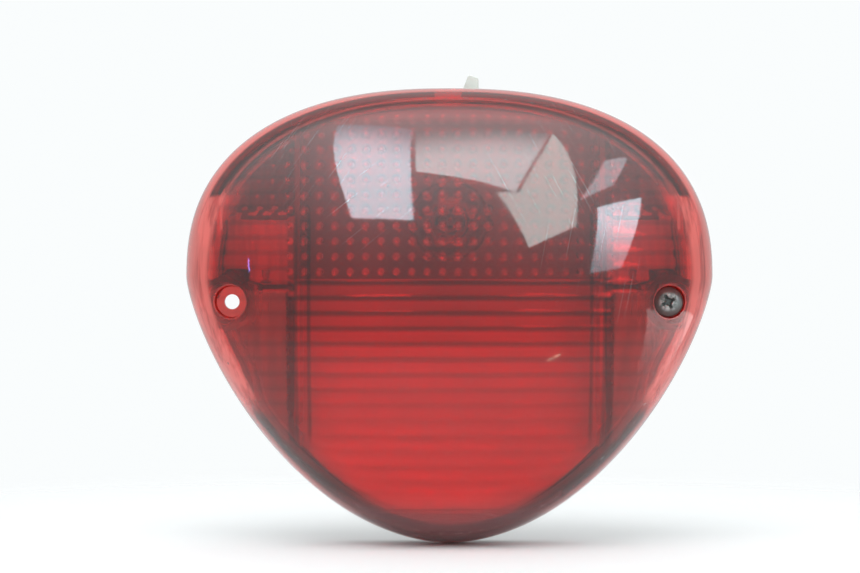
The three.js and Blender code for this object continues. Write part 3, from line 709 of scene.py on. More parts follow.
def make_bulb_base():
    """The nickel cup, with its rolled mouth and a pressed bead, and the insulator behind it."""
    profile = [(0, BASE_FROM + 1), (BASE - 1.4, BASE_FROM), (BASE, BASE_FROM + 1.2), (BASE, -1.2)]
    profile += [(BASE - 0.22, -0.8), (BASE - 0.22, -0.2), (BASE, 0.2), (BASE, BASE_TO - 0.6)]
    profile += [(BASE + 0.2, BASE_TO), (NECK + 0.3, BASE_TO), (NECK + 0.3, BASE_TO - 4), (0, BASE_TO - 4)]
    return crisp(lathe("cup", profile, 0, BULB_UP, 96, 0.25), "bulb_cup")


def make_bulb_stem():
    foot = BASE_TO - 3.6
    outer = NECK - GLASS_WALL - 0.3
    profile = [(0, foot), (outer, foot), (4, foot + 3), (2.2, foot + 7), (1.8, foot + 13), (0, foot + 13.5)]
    return crisp(lathe("stem", profile, 0, BULB_UP, 64, 1.2), "glass_stem")


def make_pin(side, forward, name):
    """A bayonet pin with a rounded nose, standing out of the side of the cup."""
    foot = BASE + 0.05
    profile = [(0, foot), (PIN_RADIUS, foot), (PIN_RADIUS, PIN_REACH), (0, PIN_REACH)]
    made = lathe("pin", profile, sides=40, soft=0.25)
    points = np.empty(len(made.data.vertices) * 3)
    made.data.vertices.foreach_get("co", points)
    points = points.reshape(-1, 3) / MM
    swapped = np.stack([side * -points[:, 1], points[:, 2] + BULB_UP, points[:, 0] + forward], axis=1)
    made.data.vertices.foreach_set("co", place(swapped).ravel())
    if side < 0:
        made.data.flip_normals()
    turned = bmesh.new()
    turned.from_mesh(made.data)
    bmesh.ops.recalc_face_normals(turned, faces=turned.faces)
    turned.to_mesh(made.data)
    turned.free()
    return crisp(made, name)


def make_filament(forward, lift, half):
    turns, per_turn = 11, 14
    t = np.linspace(0, 1, turns * per_turn + 1)
    angle = 2 * math.pi * turns * t
    up = BULB_UP + lift + COIL_RADIUS * np.cos(angle)
    route = np.stack([half * (2 * t - 1), up, forward + COIL_RADIUS * np.sin(angle)], axis=1)
    return tube("filament", route, COIL_WIRE, sides=8)


def make_support(forward, lift, half, side):
    foot = BASE_TO + 10.2
    end = side * (half + 0.45)
    up = BULB_UP + lift
    route = [(side * 1.1, BULB_UP + lift / 2, foot), (side * 1.6, up, foot + 3.5), (end, up, forward - 3)]
    return tube("support", [*route, (end, up, forward + 0.4)], LEAD_WIRE, 36, 14)


def make_solder(side):
    low = BASE_FROM - 0.9
    profile = [(0, low), (0.7, low + 0.05), (1.3, low + 0.25), (1.7, low + 0.8), (0, low + 0.8)]
    return lathe("solder", profile, side * CONTACT_X, BULB_UP, 40, 0.2)


# ---------------------------------------------------------------- socket
DISC_LOW, DISC_HIGH = lamp_box("contact_disc")
SHELL_LOW, SHELL_HIGH = lamp_box("socket_shell")
SHELL_INSIDE, SHELL_OUTSIDE, FLANGE, FLANGE_BACK = 7.75, 8.5, 14.0, 0.2
TWIST, PUSH = math.radians(15), 2.5
CAP_FRONT = SHELL_LOW[2] + 2.2
WIRE_RADIUS = 0.9


def sector(inside, outside, low, high, start, end, steps=10):
    """A piece of a ring around the bulb's axis, from one angle to another."""
    angles = np.linspace(start, end, steps + 1)
    loop = [(outside * math.cos(a), BULB_UP + outside * math.sin(a)) for a in angles]
    loop += [(inside * math.cos(a), BULB_UP + inside * math.sin(a)) for a in angles[::-1]]
    return prism(loop, low, high)


def make_shell():
    """The plated steel shell, with a flange riveted to the housing and an L-shaped slot for each pin."""
    front, back = SHELL_HIGH[2], SHELL_LOW[2]
    lip = SHELL_INSIDE - 1.4
    profile = [(SHELL_INSIDE, front), (SHELL_INSIDE, back + 0.7), (lip, back + 0.7), (lip, back)]
    profile += [(SHELL_OUTSIDE, back), (SHELL_OUTSIDE, FLANGE_BACK), (FLANGE, FLANGE_BACK)]
    profile += [(FLANGE, front - 0.15), (SHELL_OUTSIDE, front - 0.15), (SHELL_OUTSIDE, front)]
    made = lathe("shell", profile, 0, BULB_UP, 120, 0.22)
    tools = [rod(side * RIVET_X, BULB_UP, RIVET_HOLE, -2, 4, 40) for side in SIDES]
    reach = (SHELL_INSIDE - 0.6, SHELL_OUTSIDE + 0.5)
    spread = 0.17
    for side, forward in PIN_AT.values():
        centre = 0 if side > 0 else math.pi
        released = centre + TWIST
        low, high = forward - PUSH - PIN_RADIUS - 0.3, forward + PIN_RADIUS + 0.3
        tools.append(sector(*reach, low, high, centre - spread, released + spread))
        tools.append(sector(*reach, low + 0.01, front + 1, released - spread, released + spread - 0.001))
    return crisp(cut(made, tools), "socket_barrel")


def make_disc():
    low, high = DISC_LOW[2], DISC_HIGH[2]
    made = rod(0, BULB_UP, DISC_HIGH[0], low, high, 96, 0.25)
    holes = [rod(side * CONTACT_X, BULB_UP, 0.9, low - 1, high + 1, 40) for side in SIDES]
    return crisp(cut(made, holes), "paper_disc")


def make_contact(side):
    low, high = DISC_LOW[2], DISC_HIGH[2] + 0.05
    under = low - 0.05
    profile = [(0, low - 1.8), (1.3, low - 1.8), (1.3, under), (0.8, under), (0.8, high), (1.8, high)]
    profile += [(1.6, high + 0.75), (0, high + 0.95)]
    return lathe("contact", profile, side * CONTACT_X, BULB_UP, 48, 0.15)


def make_spring():
    """The pressure spring, with its two end coils closed up flat."""
    low, high = (lamp_box("contact_spring")[i][2] for i in (0, 1))
    turns, per_turn, wire, radius = 4.5, 40, 0.42, 6.2
    t = np.linspace(0, 1, int(turns * per_turn) + 1)
    rise = np.clip((t * turns - 0.6) / (turns - 1.2), 0, 1)
    angle = 2 * math.pi * turns * t
    forward = low + wire + (high - low - 2 * wire) * rise
    route = np.stack([radius * np.cos(angle), BULB_UP + radius * np.sin(angle), forward], axis=1)
    return crisp(tube("spring", route, wire, sides=16), "disc_spring")


def make_cap():
    low = SHELL_LOW[2] + 0.8
    made = rod(0, BULB_UP, SHELL_INSIDE - 0.15, low, CAP_FRONT, 96, 0.25)
    holes = [rod(side * CONTACT_X, BULB_UP, WIRE_RADIUS + 0.3, -40, 0, 40) for side in SIDES]
    return crisp(cut(made, holes), "paper_cap")


def make_rivet(side):
    under, over = FLANGE_BACK, WALL_TO
    profile = [(0, under - 1), (1.2, under - 1), (1.9, under - 0.8), (2.3, under - 0.1), (1.4, under - 0.1)]
    profile += [(1.4, over + 0.1), (2.6, over + 0.1), (2.3, over + 0.7), (1.5, over + 1), (0, over + 1)]
    return lathe("rivet", profile, side * RIVET_X, BULB_UP, 56, 0.2)


def make_earth_tab():
    low, high = lamp_box("earth_tab")
    plate = block((low[0], high[0]), (low[1], high[1]), (high[2] - 0.8, high[2]), 0.2)
    upright = block((high[0] - 0.8, high[0]), (low[1], high[1]), (low[2], high[2] - 0.02), 0.2)
    return crisp(joined(plate, [upright]), "earth_lug")


# ---------------------------------------------------------------- connector header and wiring
WAY, BLADE_HALF = 4.6, 1.4
HEADER_WALL, HEADER_FLOOR = 1.5, 6.0
HEADER_X = (HEADER_LOW[0] + HEADER_HIGH[0]) / 2
HEADER_MID = (HEADER_LOW[2] + HEADER_HIGH[2]) / 2
HEADER_TOP = 65.0


def make_header():
    low, high = HEADER_LOW, HEADER_HIGH
    body = block((low[0], high[0]), (low[1], HEADER_TOP), (low[2], high[2]), 0.3)
    w = HEADER_WALL
    tools = [block((low[0] + w, high[0] - w), (low[1] + HEADER_FLOOR, FAR), (low[2] + w, high[2] - w), 0.2)]
    for way in (-1, 0, 1):
        at = HEADER_X + way * WAY
        thickness = (HEADER_MID - 1.1, HEADER_MID + 1.1)
        tools.append(block((at - 1.75, at + 1.75), (low[1] - 1, HEADER_TOP - 2), thickness))
    cut(body, tools)
    left, right = HEADER_X - 2.75, HEADER_X + 2.75
    tongue = [(left, HEADER_TOP - 2), (right, HEADER_TOP - 2), (right, 71.2), (left + 2.3, high[1])]
    tongue = rounded([*tongue, (left + 1, 69), (left, 66.5)], 0.6, closed=True)
    grips = [
        block((low[0] - 0.01, low[0] + 0.8), (up, up + 1.2), (low[2] + 1.5, high[2] - 1.5), 0.2)
        for up in (50, 53, 56)
    ]
    cut(body, grips)
    return crisp(joined(body, [prism(tongue, high[2] - 2.4, high[2] - 0.01, 0.25)]), "plug_header")


def make_blade(way):
    """A blade with a chamfered nose, and the crimp that holds the wire's end."""
    at, bottom = HEADER_X + way * WAY, HEADER_LOW[1]
    top = HEADER_TOP - 3
    left, right = at - BLADE_HALF, at + BLADE_HALF
    loop = [(left, bottom + 3), (right, bottom + 3), (right, top - 1)]
    loop += [(at + 0.8, top), (at - 0.8, top), (left, top - 1)]
    blade = prism(rounded(loop, 0.2, closed=True), HEADER_MID - 0.4, HEADER_MID + 0.4, 0.12)
    crimp = block((at - 1.3, at + 1.3), (bottom + 1, bottom + 4), (HEADER_MID - 0.8, HEADER_MID + 0.8), 0.3)
    return joined(blade, [crimp])


WIRE_FROM = DISC_LOW[2] - 1.8 - PUSH - 0.3
WIRE_TOP = HEADER_LOW[1] + 0.7
EARTH_LOW, EARTH_HIGH = lamp_box("earth_tab")
EARTH_X = EARTH_HIGH[0] - 2.1


def wire_end(way):
    at = HEADER_X + way * WAY
    return [(at, 44.5, HEADER_MID), (at, WIRE_TOP, HEADER_MID)]


WIRES = {
    "wire_tail": [
        (-CONTACT_X, BULB_UP, WIRE_FROM),
        (-CONTACT_X, BULB_UP, -27),
        (-3.4, BULB_UP + 4, -30.5),
        (-3, 35, -24),
        (HEADER_X - WAY, 41, -9),
        *wire_end(-1),
    ],
    "wire_brake": [
        (CONTACT_X, BULB_UP, WIRE_FROM),
        (CONTACT_X, BULB_UP, -27),
        (3.6, BULB_UP + 4, -31),
        (5, 36, -24.5),
        (HEADER_X, 41, -9.5),
        *wire_end(0),
    ],
    "wire_earth": [
        (EARTH_X, BULB_UP, EARTH_LOW[2] + 2),
        (EARTH_X, BULB_UP + 1, EARTH_LOW[2] - 3),
        (14.5, 32, EARTH_LOW[2] - 5),
        (HEADER_X + WAY + 0.6, 40, -7.5),
        *wire_end(1),
    ],
}


# ---------------------------------------------------------------- materials
def new_material(name):
    made = bpy.data.materials.new(name)
    made.use_nodes = True
    tree = made.node_tree
    return made, tree, tree.nodes["Principled BSDF"]


def feed(tree, socket, value):
    """Gives a socket a number, a colour or a vector, or links another node's output to it."""
    if isinstance(value, bpy.types.NodeSocket):
        tree.links.new(value, socket)
    elif isinstance(value, tuple) and len(value) < len(socket.default_value):
        socket.default_value = (*value, 1)
    else:
        socket.default_value = value


def surface(tree, shader, **values):
    """Feeds the shader's inputs by name, with _ for each space."""
    for key, value in values.items():
        feed(tree, shader.inputs[key.replace("_", " ")], value)


def node(tree, kind, **values):
    """A shader node with properties and inputs set by name. Inputs are given as in_NAME."""
    made = tree.nodes.new(kind)
    for key, value in values.items():
        if key.startswith("in_"):
            feed(tree, made.inputs[key[3:].replace("_", " ")], value)
        else:
            setattr(made, key, value)
    return made


def calc(tree, operation, *values, clamp=False):
    """A maths node. Each value is a number or another node's output."""
    made = node(tree, "ShaderNodeMath", operation=operation, use_clamp=clamp)
    for socket, value in zip(made.inputs, values):
        feed(tree, socket, value)
    return made.outputs["Value"]


def vector_calc(tree, operation, *values, result="Vector"):
    """A vector maths node. Each value is a triple or another node's output."""
    made = node(tree, "ShaderNodeVectorMath", operation=operation)
    for socket, value in zip(made.inputs, values):
        feed(tree, socket, value)
    return made.outputs[result]


def product(tree, *values):
    """The values multiplied together."""
    total = values[0]
    for value in values[1:]:
        total = calc(tree, "MULTIPLY", total, value)
    return total


def highest(tree, *values):
    """The greatest of the values."""
    top = values[0]
    for value in values[1:]:
        top = calc(tree, "MAXIMUM", top, value)
    return top


def rest(tree, value):
    """What the value leaves of one."""
    return calc(tree, "SUBTRACT", 1.0, value)


def span(tree, aside, above):
    """How far away a point is that lies this far aside and above."""
    return calc(tree, "SQRT", calc(tree, "ADD", product(tree, aside, aside), product(tree, above, above)))


def rise(tree, value, low, high, start=0.0, end=1.0):
    """A smooth change from start to end as the value goes from low to high."""
    made = node(tree, "ShaderNodeMapRange", interpolation_type="SMOOTHSTEP", in_Value=value,
                in_From_Min=low, in_From_Max=high, in_To_Min=start, in_To_Max=end)
    return made.outputs["Result"]


def band(tree, value, low, high, soft):
    """One between low and high, falling to nothing over the soft distance outside them."""
    return product(tree, rise(tree, value, low - soft, low), rise(tree, value, high + soft, high))


def position(tree):
    """Object coordinates, which are the row frame's metres."""
    return node(tree, "ShaderNodeTexCoord").outputs["Object"]


def lamp_axes(tree):
    """Right, up and forward in millimetres, as three sockets."""
    split = node(tree, "ShaderNodeSeparateXYZ", in_Vector=position(tree))
    scales = (("X", 1 / MM), ("Z", 1 / MM), ("Y", -1 / MM))
    return [calc(tree, "MULTIPLY", split.outputs[axis], scale) for axis, scale in scales]


def noise(tree, scale, detail=4.0, roughness=0.5, stretch=None, turn=(0, 0, 0)):
    """Noise in object space. For streaks, the coordinates are turned and then multiplied by stretch."""
    where = position(tree)
    if stretch:
        mapping = node(tree, "ShaderNodeMapping", vector_type="TEXTURE", in_Vector=where,
                       in_Scale=tuple(1 / s for s in stretch), in_Rotation=turn)
        where = mapping.outputs["Vector"]
    made = node(tree, "ShaderNodeTexNoise", in_Vector=where, in_Scale=scale,
                in_Detail=detail, in_Roughness=roughness)
    return made.outputs["Fac"]


def cells(tree, scale):
    """Distance to the nearest of randomly scattered points."""
    return node(tree, "ShaderNodeTexVoronoi", in_Scale=scale, in_Vector=position(tree)).outputs["Distance"]


def ramp(tree, value, stops):
    """Maps a value through (position, level or colour) stops."""
    made = node(tree, "ShaderNodeValToRGB", in_Fac=value)
    elements = made.color_ramp.elements
    while len(elements) < len(stops):
        elements.new(0.5)
    for element, (at, level) in zip(elements, stops):
        element.position = at
        colour = level if isinstance(level, tuple) else (level, level, level)
        element.color = (*colour, 1)
    return made.outputs["Color"]


def blend(tree, share, first, second):
    """A colour between two, each a colour or a socket."""
    made = node(tree, "ShaderNodeMix", data_type="RGBA")
    for key, value in ((0, share), (6, first), (7, second)):
        feed(tree, made.inputs[key], value)
    return made.outputs[2]


def mix_level(tree, share, first, second):
    """A level between two, each a number or a socket."""
    made = node(tree, "ShaderNodeMix", data_type="FLOAT", in_Factor=share, in_A=first, in_B=second)
    return made.outputs["Result"]


def bump(tree, height, strength, distance):
    made = node(tree, "ShaderNodeBump", in_Height=height, in_Strength=strength, in_Distance=distance)
    return made.outputs["Normal"]


def moulded(name, dark, light, rough=(0.35, 0.5), grain=2500, grain_depth=0.00001, patches=90, metallic=0.0):
    """A surface with cloudy colour and gloss, over a fine grain."""
    made, tree, shader = new_material(name)
    clouds = noise(tree, patches, 5, 0.6)
    gloss = ramp(tree, noise(tree, patches * 2.3, 4), [(0.3, rough[0]), (0.7, rough[1])])
    surface(tree, shader, Base_Color=ramp(tree, clouds, [(0.32, dark), (0.7, light)]), Roughness=gloss)
    surface(tree, shader, Metallic=metallic, Normal=bump(tree, noise(tree, grain, 2), 0.5, grain_depth))
    return made


SCRATCHES = (
    (0.6, (-44, 46), 22, 0.66),
    (-0.5, (34, 40), 26, 0.7),
    (0.9, (-28, 30), 20, 0.7),
    (0.2, (48, 10), 26, 0.71),
)


def scratches(tree, turn, patch_at, reach, sparse):
    """Hairline scratches at one slant, inside a soft-edged patch around a point given as (right, up)."""
    streak = noise(tree, 2600, 1, 0.4, stretch=(1, 0.02, 0.014), turn=(0, turn, 0))
    line = rise(tree, streak, sparse, sparse + 0.05)
    right, up, _ = lamp_axes(tree)
    away = span(tree, calc(tree, "SUBTRACT", right, patch_at[0]), calc(tree, "SUBTRACT", up, patch_at[1]))
    return product(tree, line, rise(tree, away, reach, reach * 0.3))


def dot_painted_shade(tree, right, up):
    """Painted light and shade over the dots: the plain wall between them darker, the dots lighter and more so
    on the left, and nearly even along the top.
    """
    half = PITCH / 2
    aside = calc(tree, "SUBTRACT", half, calc(tree, "PINGPONG", right, half))
    apart = span(tree, aside, calc(tree, "PINGPONG", up, half))
    dot = product(tree, rise(tree, apart, 1.45, 0.6), rise(tree, right, -25.0, 30.0, 1.0, 0.4))
    between = rise(tree, noise(tree, 45, 3), 0.3, 0.75, 0.42, 0.56)
    dot_shade = calc(tree, "ADD", between, product(tree, dot, 0.6), clamp=True)
    return mix_level(tree, rise(tree, up, 53.5, 56.5), dot_shade, 0.95)


def optic_painted_shade(tree, right, up):
    """Painted shade from the optics: darker between the dots above, in the flute grooves below (deeper higher
    up), along upright lines beside, and in streaks in the side chambers.
    """
    groove = rise(tree, calc(tree, "PINGPONG", calc(tree, "SUBTRACT", up, FLUTE_SHIFT), PITCH / 2), 0.9, 2.1)
    flute_shade = rest(tree, product(tree, groove, rise(tree, up, 10.0, -46.0, 0.62, 0.08)))
    above = rise(tree, up, DOTS_ABOVE - 0.2, DOTS_ABOVE + 0.2)
    centre = mix_level(tree, above, flute_shade, dot_painted_shade(tree, right, up))
    beside = calc(tree, "ABSOLUTE", right)
    # painted shade: dark upright lines where the reflector's side walls show through the lens
    upright = highest(tree, band(tree, beside, 42.3, 42.9, 0.5), band(tree, beside, 46.3, 47.0, 0.5))
    upright = product(tree, upright, rise(tree, up, 30.0, 24.0), rise(tree, up, -46.0, -38.0), 0.45)
    centre = product(tree, centre, rest(tree, upright))
    streak = rise(tree, noise(tree, 30, 3, 0.6, stretch=(12, 1, 1.2)), 0.35, 0.65, 0.75, 1.0)
    chamber = product(tree, streak, rest(tree, product(tree, groove, 0.25)))
    return mix_level(tree, rise(tree, beside, CENTRE_HALF + 0.4, CENTRE_HALF - 0.4), chamber, centre)


def rim_painted_glow(tree, right, up, forward):
    """Painted glow on the thick edge: a thin line all round, wide at both sides, weak at the bottom, with
    short stripes above the wells.
    """
    edge = rise(tree, forward, 25.6, 23.6)
    bead = product(tree, band(tree, forward, 30.6, 31.2, 0.5), 0.4)
    beside = calc(tree, "ABSOLUTE", right)
    streak = rise(tree, noise(tree, 260, 3, 0.6, stretch=(1, 1, 0.06)), 0.35, 0.6, 0.55, 1.0)
    flank = product(tree, rise(tree, forward, 34.0, 30.5), band(tree, up, -32.0, 30.0, 9.0), streak)
    flank = product(tree, flank, rise(tree, beside, 56.0, 62.0))
    tick = rise(tree, calc(tree, "PINGPONG", right, 1.3), 0.7, 0.3)
    tick = product(tree, tick, band(tree, beside, 68.5, 75.5, 0.4), band(tree, up, 22.5, 31.0, 1.0), 0.55)
    painted_glow = product(tree, highest(tree, edge, bead, flank), rise(tree, up, -42.0, -26.0, 0.12, 1.0))
    return product(tree, highest(tree, painted_glow, tick), rise(tree, forward, 10.0, 21.0, 0.4, 1.0))


def seal_shadow(tree, right, up, forward):
    """Where the foam strip darkens the lens: inside the edge above, out to the edge below, not beside."""
    above = product(tree, band(tree, forward, 25.4, 29.4, 0.5), rise(tree, up, 32.0, 33.4))
    gap = rise(tree, calc(tree, "ABSOLUTE", calc(tree, "SUBTRACT", right, -0.6)), 3.8, 4.4)
    below = product(tree, band(tree, forward, 19.0, 28.6, 2.0), rise(tree, up, -30.0, -38.0), 0.85)
    return highest(tree, product(tree, above, gap), below)


# the second colour is the painted glow's
LENS_COLOUR, PAINTED_GLOW_COLOUR = (0.9, 0.016, 0.013), (0.88, 0.16, 0.135)
# the first colour is the painted reflection's at the lens's bottom
BOTTOM_REFLECTION_COLOUR, SCRATCH_COLOUR, SPECK_COLOUR = (0.62, 0.42, 0.44), (0.95, 0.72, 0.72), (0.1, 0.05, 0.05)


def lens_painted_glow(tree, axes, from_well, shade):
    """How much painted glow the lens gets: its rim, the rings round the wells and the low half of the side
    chambers.
    """
    right, up, forward = axes
    outside_well = rise(tree, from_well, 5.4, 6.4)
    rim = product(tree, rim_painted_glow(tree, right, up, forward), outside_well)
    well = product(tree, band(tree, from_well, 2.2, 5.3, 0.3), 0.45)
    chamber = product(tree, rise(tree, calc(tree, "ABSOLUTE", right), CENTRE_HALF, CENTRE_HALF + 1), 0.2)
    chamber = product(tree, chamber, rise(tree, up, 4.0, 3.0), outside_well)
    return product(tree, highest(tree, rim, well, chamber), rest(tree, shade))


def red_lens_material():
    """Clear red plastic with moulded optics, polished outside, finely scratched and slightly hazed with age.

    Between the dots above the screw line, in the grooves between the flutes, round each well and over the
    seal, the red is darkened as painted shade. A painted glow pales its thick edge, the wells' inner rings
    and the low side chambers, and a painted reflection pales the bottom.
    """
    made, tree, shader = new_material("lens_red")
    axes = right, up, forward = lamp_axes(tree)
    from_well = span(tree, calc(tree, "SUBTRACT", calc(tree, "ABSOLUTE", right), WELL_X), up)
    shade = seal_shadow(tree, right, up, forward)
    # painted shade: the optics pattern, a dark ring round each well and the seal's shadow darken the red
    optics = mix_level(tree, rise(tree, forward, 22.0, 27.0), 1.0, optic_painted_shade(tree, right, up))
    well_ring_shade = rise(tree, from_well, 6.6, 7.4, 0.9, 1.0)
    painted_light_level = product(tree, optics, well_ring_shade, rest(tree, product(tree, shade, 0.8)))
    # painted glow: the edge, the wells' inner rings and the low side chambers are paled and made less clear
    painted_glow = lens_painted_glow(tree, axes, from_well, shade)
    lines = highest(tree, *[scratches(tree, *patch) for patch in SCRATCHES])
    # painted reflection: the bottom of the lens is paled towards greyish pink, standing in for the floor it
    # mirrors
    bottom_reflection = rise(tree, calc(tree, "ADD", up, noise(tree, 60, 4)), -54.0, -68.0, 0.0, 0.3)
    speck = product(tree, rise(tree, cells(tree, 85), 0.045, 0.02), rise(tree, noise(tree, 60, 1), 0.52, 0.6))
    colour = blend(tree, painted_light_level, (0.0, 0.0, 0.0), LENS_COLOUR)
    colour = blend(tree, painted_glow, colour, PAINTED_GLOW_COLOUR)
    colour = blend(tree, bottom_reflection, colour, BOTTOM_REFLECTION_COLOUR)
    colour = blend(tree, product(tree, lines, 0.4), colour, SCRATCH_COLOUR)
    colour = blend(tree, speck, colour, SPECK_COLOUR)
    marks = highest(tree, product(tree, lines, 0.14), product(tree, speck, 0.8))
    solid = highest(tree, marks, bottom_reflection, product(tree, painted_glow, 0.7))
    gloss = ramp(tree, noise(tree, 55, 3), [(0.35, 0.03), (0.75, 0.08)])
    surface(tree, shader, Base_Color=colour, Transmission_Weight=rest(tree, solid), Roughness=gloss, IOR=1.49)
    surface(tree, shader, Coat_Weight=0.3, Coat_Roughness=0.42)
    return made


def glass_material():
    made, tree, shader = new_material("clear_glass")
    gloss = ramp(tree, noise(tree, 80, 3), [(0.4, 0.0), (0.8, 0.05)])
    surface(tree, shader, Base_Color=(0.97, 0.98, 0.98), Transmission_Weight=1.0, IOR=1.5, Roughness=gloss)
    return made


def reflector_material():
    """Metallised plastic with painted shade that follows height: darker above the bulb and at the very
    bottom, lightest some way below the bulb; its gloss varies at random.
    """
    made, tree, shader = new_material("reflector_silver")
    right, up, _ = lamp_axes(tree)
    # painted shade: the trough's colour follows height, darker above the bulb and at the bottom, lighter
    # below the bulb
    shade_height = calc(tree, "ADD", up, rise(tree, noise(tree, 30, 4), 0.3, 0.7, -4.0, 4.0))
    painted_shade_along = rise(tree, shade_height, 60.0, -64.0)
    painted_shade_levels = [(0.0, 0.5), (0.12, 0.38), (0.42, 0.42), (0.68, 0.63), (0.84, 0.48), (1.0, 0.36)]
    trough = ramp(tree, painted_shade_along, painted_shade_levels)
    wing = rise(tree, calc(tree, "ABSOLUTE", right), TROUGH_HALF - 0.4, TROUGH_HALF + 0.4)
    gloss = ramp(tree, noise(tree, 90, 4), [(0.3, 0.28), (0.7, 0.42)])
    surface(tree, shader, Base_Color=blend(tree, wing, trough, (0.66, 0.66, 0.66)), Roughness=gloss)
    surface(tree, shader, Metallic=0.6, Normal=bump(tree, noise(tree, 900, 2), 0.4, 0.00002))
    return made


def housing_material():
    """Black plastic, near-black behind and outside, and painted a lighter grey inside as painted light from
    the lit lamp.
    """
    made, tree, shader = new_material("housing_black")
    forward = lamp_axes(tree)[2]
    outward = vector_calc(tree, "NORMALIZE", vector_calc(tree, "MULTIPLY", position(tree), (1, 0, 1)))
    normal = node(tree, "ShaderNodeNewGeometry").outputs["True Normal"]
    facing = vector_calc(tree, "DOT_PRODUCT", outward, normal, result="Value")
    # painted light: faces in front of the back wall that do not face outwards take the lighter grey
    inside = product(tree, rise(tree, forward, WALL_TO - 0.4, WALL_TO), rise(tree, facing, 0.6, 0.4))
    clouds = noise(tree, 60, 5, 0.6)
    outer = ramp(tree, clouds, [(0.32, (0.03, 0.03, 0.033)), (0.7, (0.06, 0.06, 0.066))])
    inner = ramp(tree, clouds, [(0.32, (0.27, 0.265, 0.265)), (0.7, (0.36, 0.355, 0.355))])
    gloss = ramp(tree, noise(tree, 140, 4), [(0.3, 0.4), (0.7, 0.6)])
    surface(tree, shader, Base_Color=blend(tree, inside, outer, inner), Roughness=gloss)
    surface(tree, shader, Normal=bump(tree, noise(tree, 3500, 2), 0.5, 0.00004))
    return made


def worn_black_material():
    """Black oxide on steel, rubbed to bare metal on the edges of the cross recess."""
    made, tree, shader = new_material("screw_black")
    right, up, forward = lamp_axes(tree)
    out = span(tree, calc(tree, "SUBTRACT", right, WELL_X), up)
    near = product(tree, rise(tree, out, 3.4, 2.0), rise(tree, forward, SEAT + 1.9, SEAT + 2.5))
    rubbed = product(tree, near, rise(tree, noise(tree, 700, 5, 0.7), 0.42, 0.6))
    specks = rise(tree, noise(tree, 1400, 4, 0.7), 0.6, 0.75, 0.0, 0.35)
    bare = calc(tree, "ADD", rubbed, specks, clamp=True)
    colour = blend(tree, bare, (0.15, 0.165, 0.16), (0.5, 0.52, 0.5))
    gloss = ramp(tree, noise(tree, 500, 4), [(0.3, 0.32), (0.7, 0.55)])
    surface(tree, shader, Base_Color=colour, Roughness=gloss)
    surface(tree, shader, Metallic=0.15, Normal=bump(tree, noise(tree, 1800, 4, 0.7), 0.6, 0.00006))
    return made


def seal_material():
    """Closed-cell foam: dark blue-grey, with fine open cells on its skin."""
    made, tree, shader = new_material("seal_rubber")
    colour = ramp(tree, noise(tree, 120, 5), [(0.3, (0.03, 0.035, 0.05)), (0.7, (0.06, 0.066, 0.085))])
    pores = bump(tree, cells(tree, 1600), 0.6, 0.0001)
    surface(tree, shader, Base_Color=colour, Roughness=0.85, Normal=pores)
    return made


MATERIALS = {
    "lens_red": red_lens_material(),
    "screw_black": worn_black_material(),
    "housing_black": housing_material(),
    "seal_rubber": seal_material(),
    "reflector_silver": reflector_material(),
    "clear_glass": glass_material(),
}
# name: darkest and lightest colour, gloss range, grain scale and depth in metres, patch scale, metallic
PLAIN_FINISHES = {
    "nickel_steel": ((0.5, 0.49, 0.46), (0.68, 0.67, 0.64), (0.2, 0.4), 1500, 0.00002, 120, 1.0),
    "brass": ((0.55, 0.38, 0.14), (0.75, 0.57, 0.26), (0.22, 0.45), 1500, 0.00002, 150, 1.0),
    "tungsten": ((0.12, 0.12, 0.125), (0.25, 0.25, 0.26), (0.3, 0.5), 4000, 0.00001, 300, 1.0),
    "solder": ((0.42, 0.43, 0.44), (0.62, 0.63, 0.64), (0.3, 0.55), 1500, 0.00003, 500, 1.0),
    "phenolic": ((0.1, 0.045, 0.02), (0.2, 0.1, 0.045), (0.4, 0.65), 1200, 0.00004, 150),
    "spring_steel": ((0.35, 0.35, 0.35), (0.55, 0.55, 0.55), (0.25, 0.4), 2500, 0.00001, 200, 1.0),
    "zinc_steel": ((0.45, 0.44, 0.38), (0.68, 0.67, 0.62), (0.28, 0.5), 1200, 0.00003, 160, 1.0),
    "nylon": ((0.68, 0.71, 0.64), (0.8, 0.83, 0.76), (0.35, 0.5), 2500, 0.00002, 80),
    "wire_yellow": ((0.6, 0.42, 0.03), (0.75, 0.56, 0.06)),
    "wire_green": ((0.02, 0.16, 0.05), (0.04, 0.24, 0.08)),
    "wire_black": ((0.012, 0.012, 0.012), (0.03, 0.03, 0.03)),
}
for finish, values in PLAIN_FINISHES.items():
    MATERIALS[finish] = moulded(finish, *values)

SLOT_OF = {s["node"]: s["material_slot"] for s in frame["record"]["subparts"]}


# ---------------------------------------------------------------- assembly
def body_of(node_name):
    for body, members in frame["record"]["behaviour"]["bodies"].items():
        if node_name in members:
            return body
    raise KeyError(node_name)


def stand_for(made, node_name):
    """The made piece takes the CAD node's place, finish and body."""
    made.data.materials.clear()
    made.data.materials.append(MATERIALS[SLOT_OF[node_name]])
    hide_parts(node_name)
    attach(made, body_of(node_name))


for name, cad in frame["nodes"].items():
    cad.data.materials.clear()
    cad.data.materials.append(MATERIALS[SLOT_OF[name]])

SINGLE = {
    "lens": make_lens,
    "lens_screw": make_screw,
    "screw_washer": make_washer,
    "housing": make_housing,
    "lens_seal": make_seal,
    "reflector": make_reflector,
    "bulb_glass": make_bulb_glass,
    "bulb_base": make_bulb_base,
    "bulb_stem": make_bulb_stem,
    "contact_disc": make_disc,
    "contact_spring": make_spring,
    "socket_shell": make_shell,
    "socket_cap": make_cap,
    "earth_tab": make_earth_tab,
    "connector_header": make_header,
}
for node_name, make in SINGLE.items():
    stand_for(make(), node_name)

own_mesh(bpy.data.objects["disc_spring"])

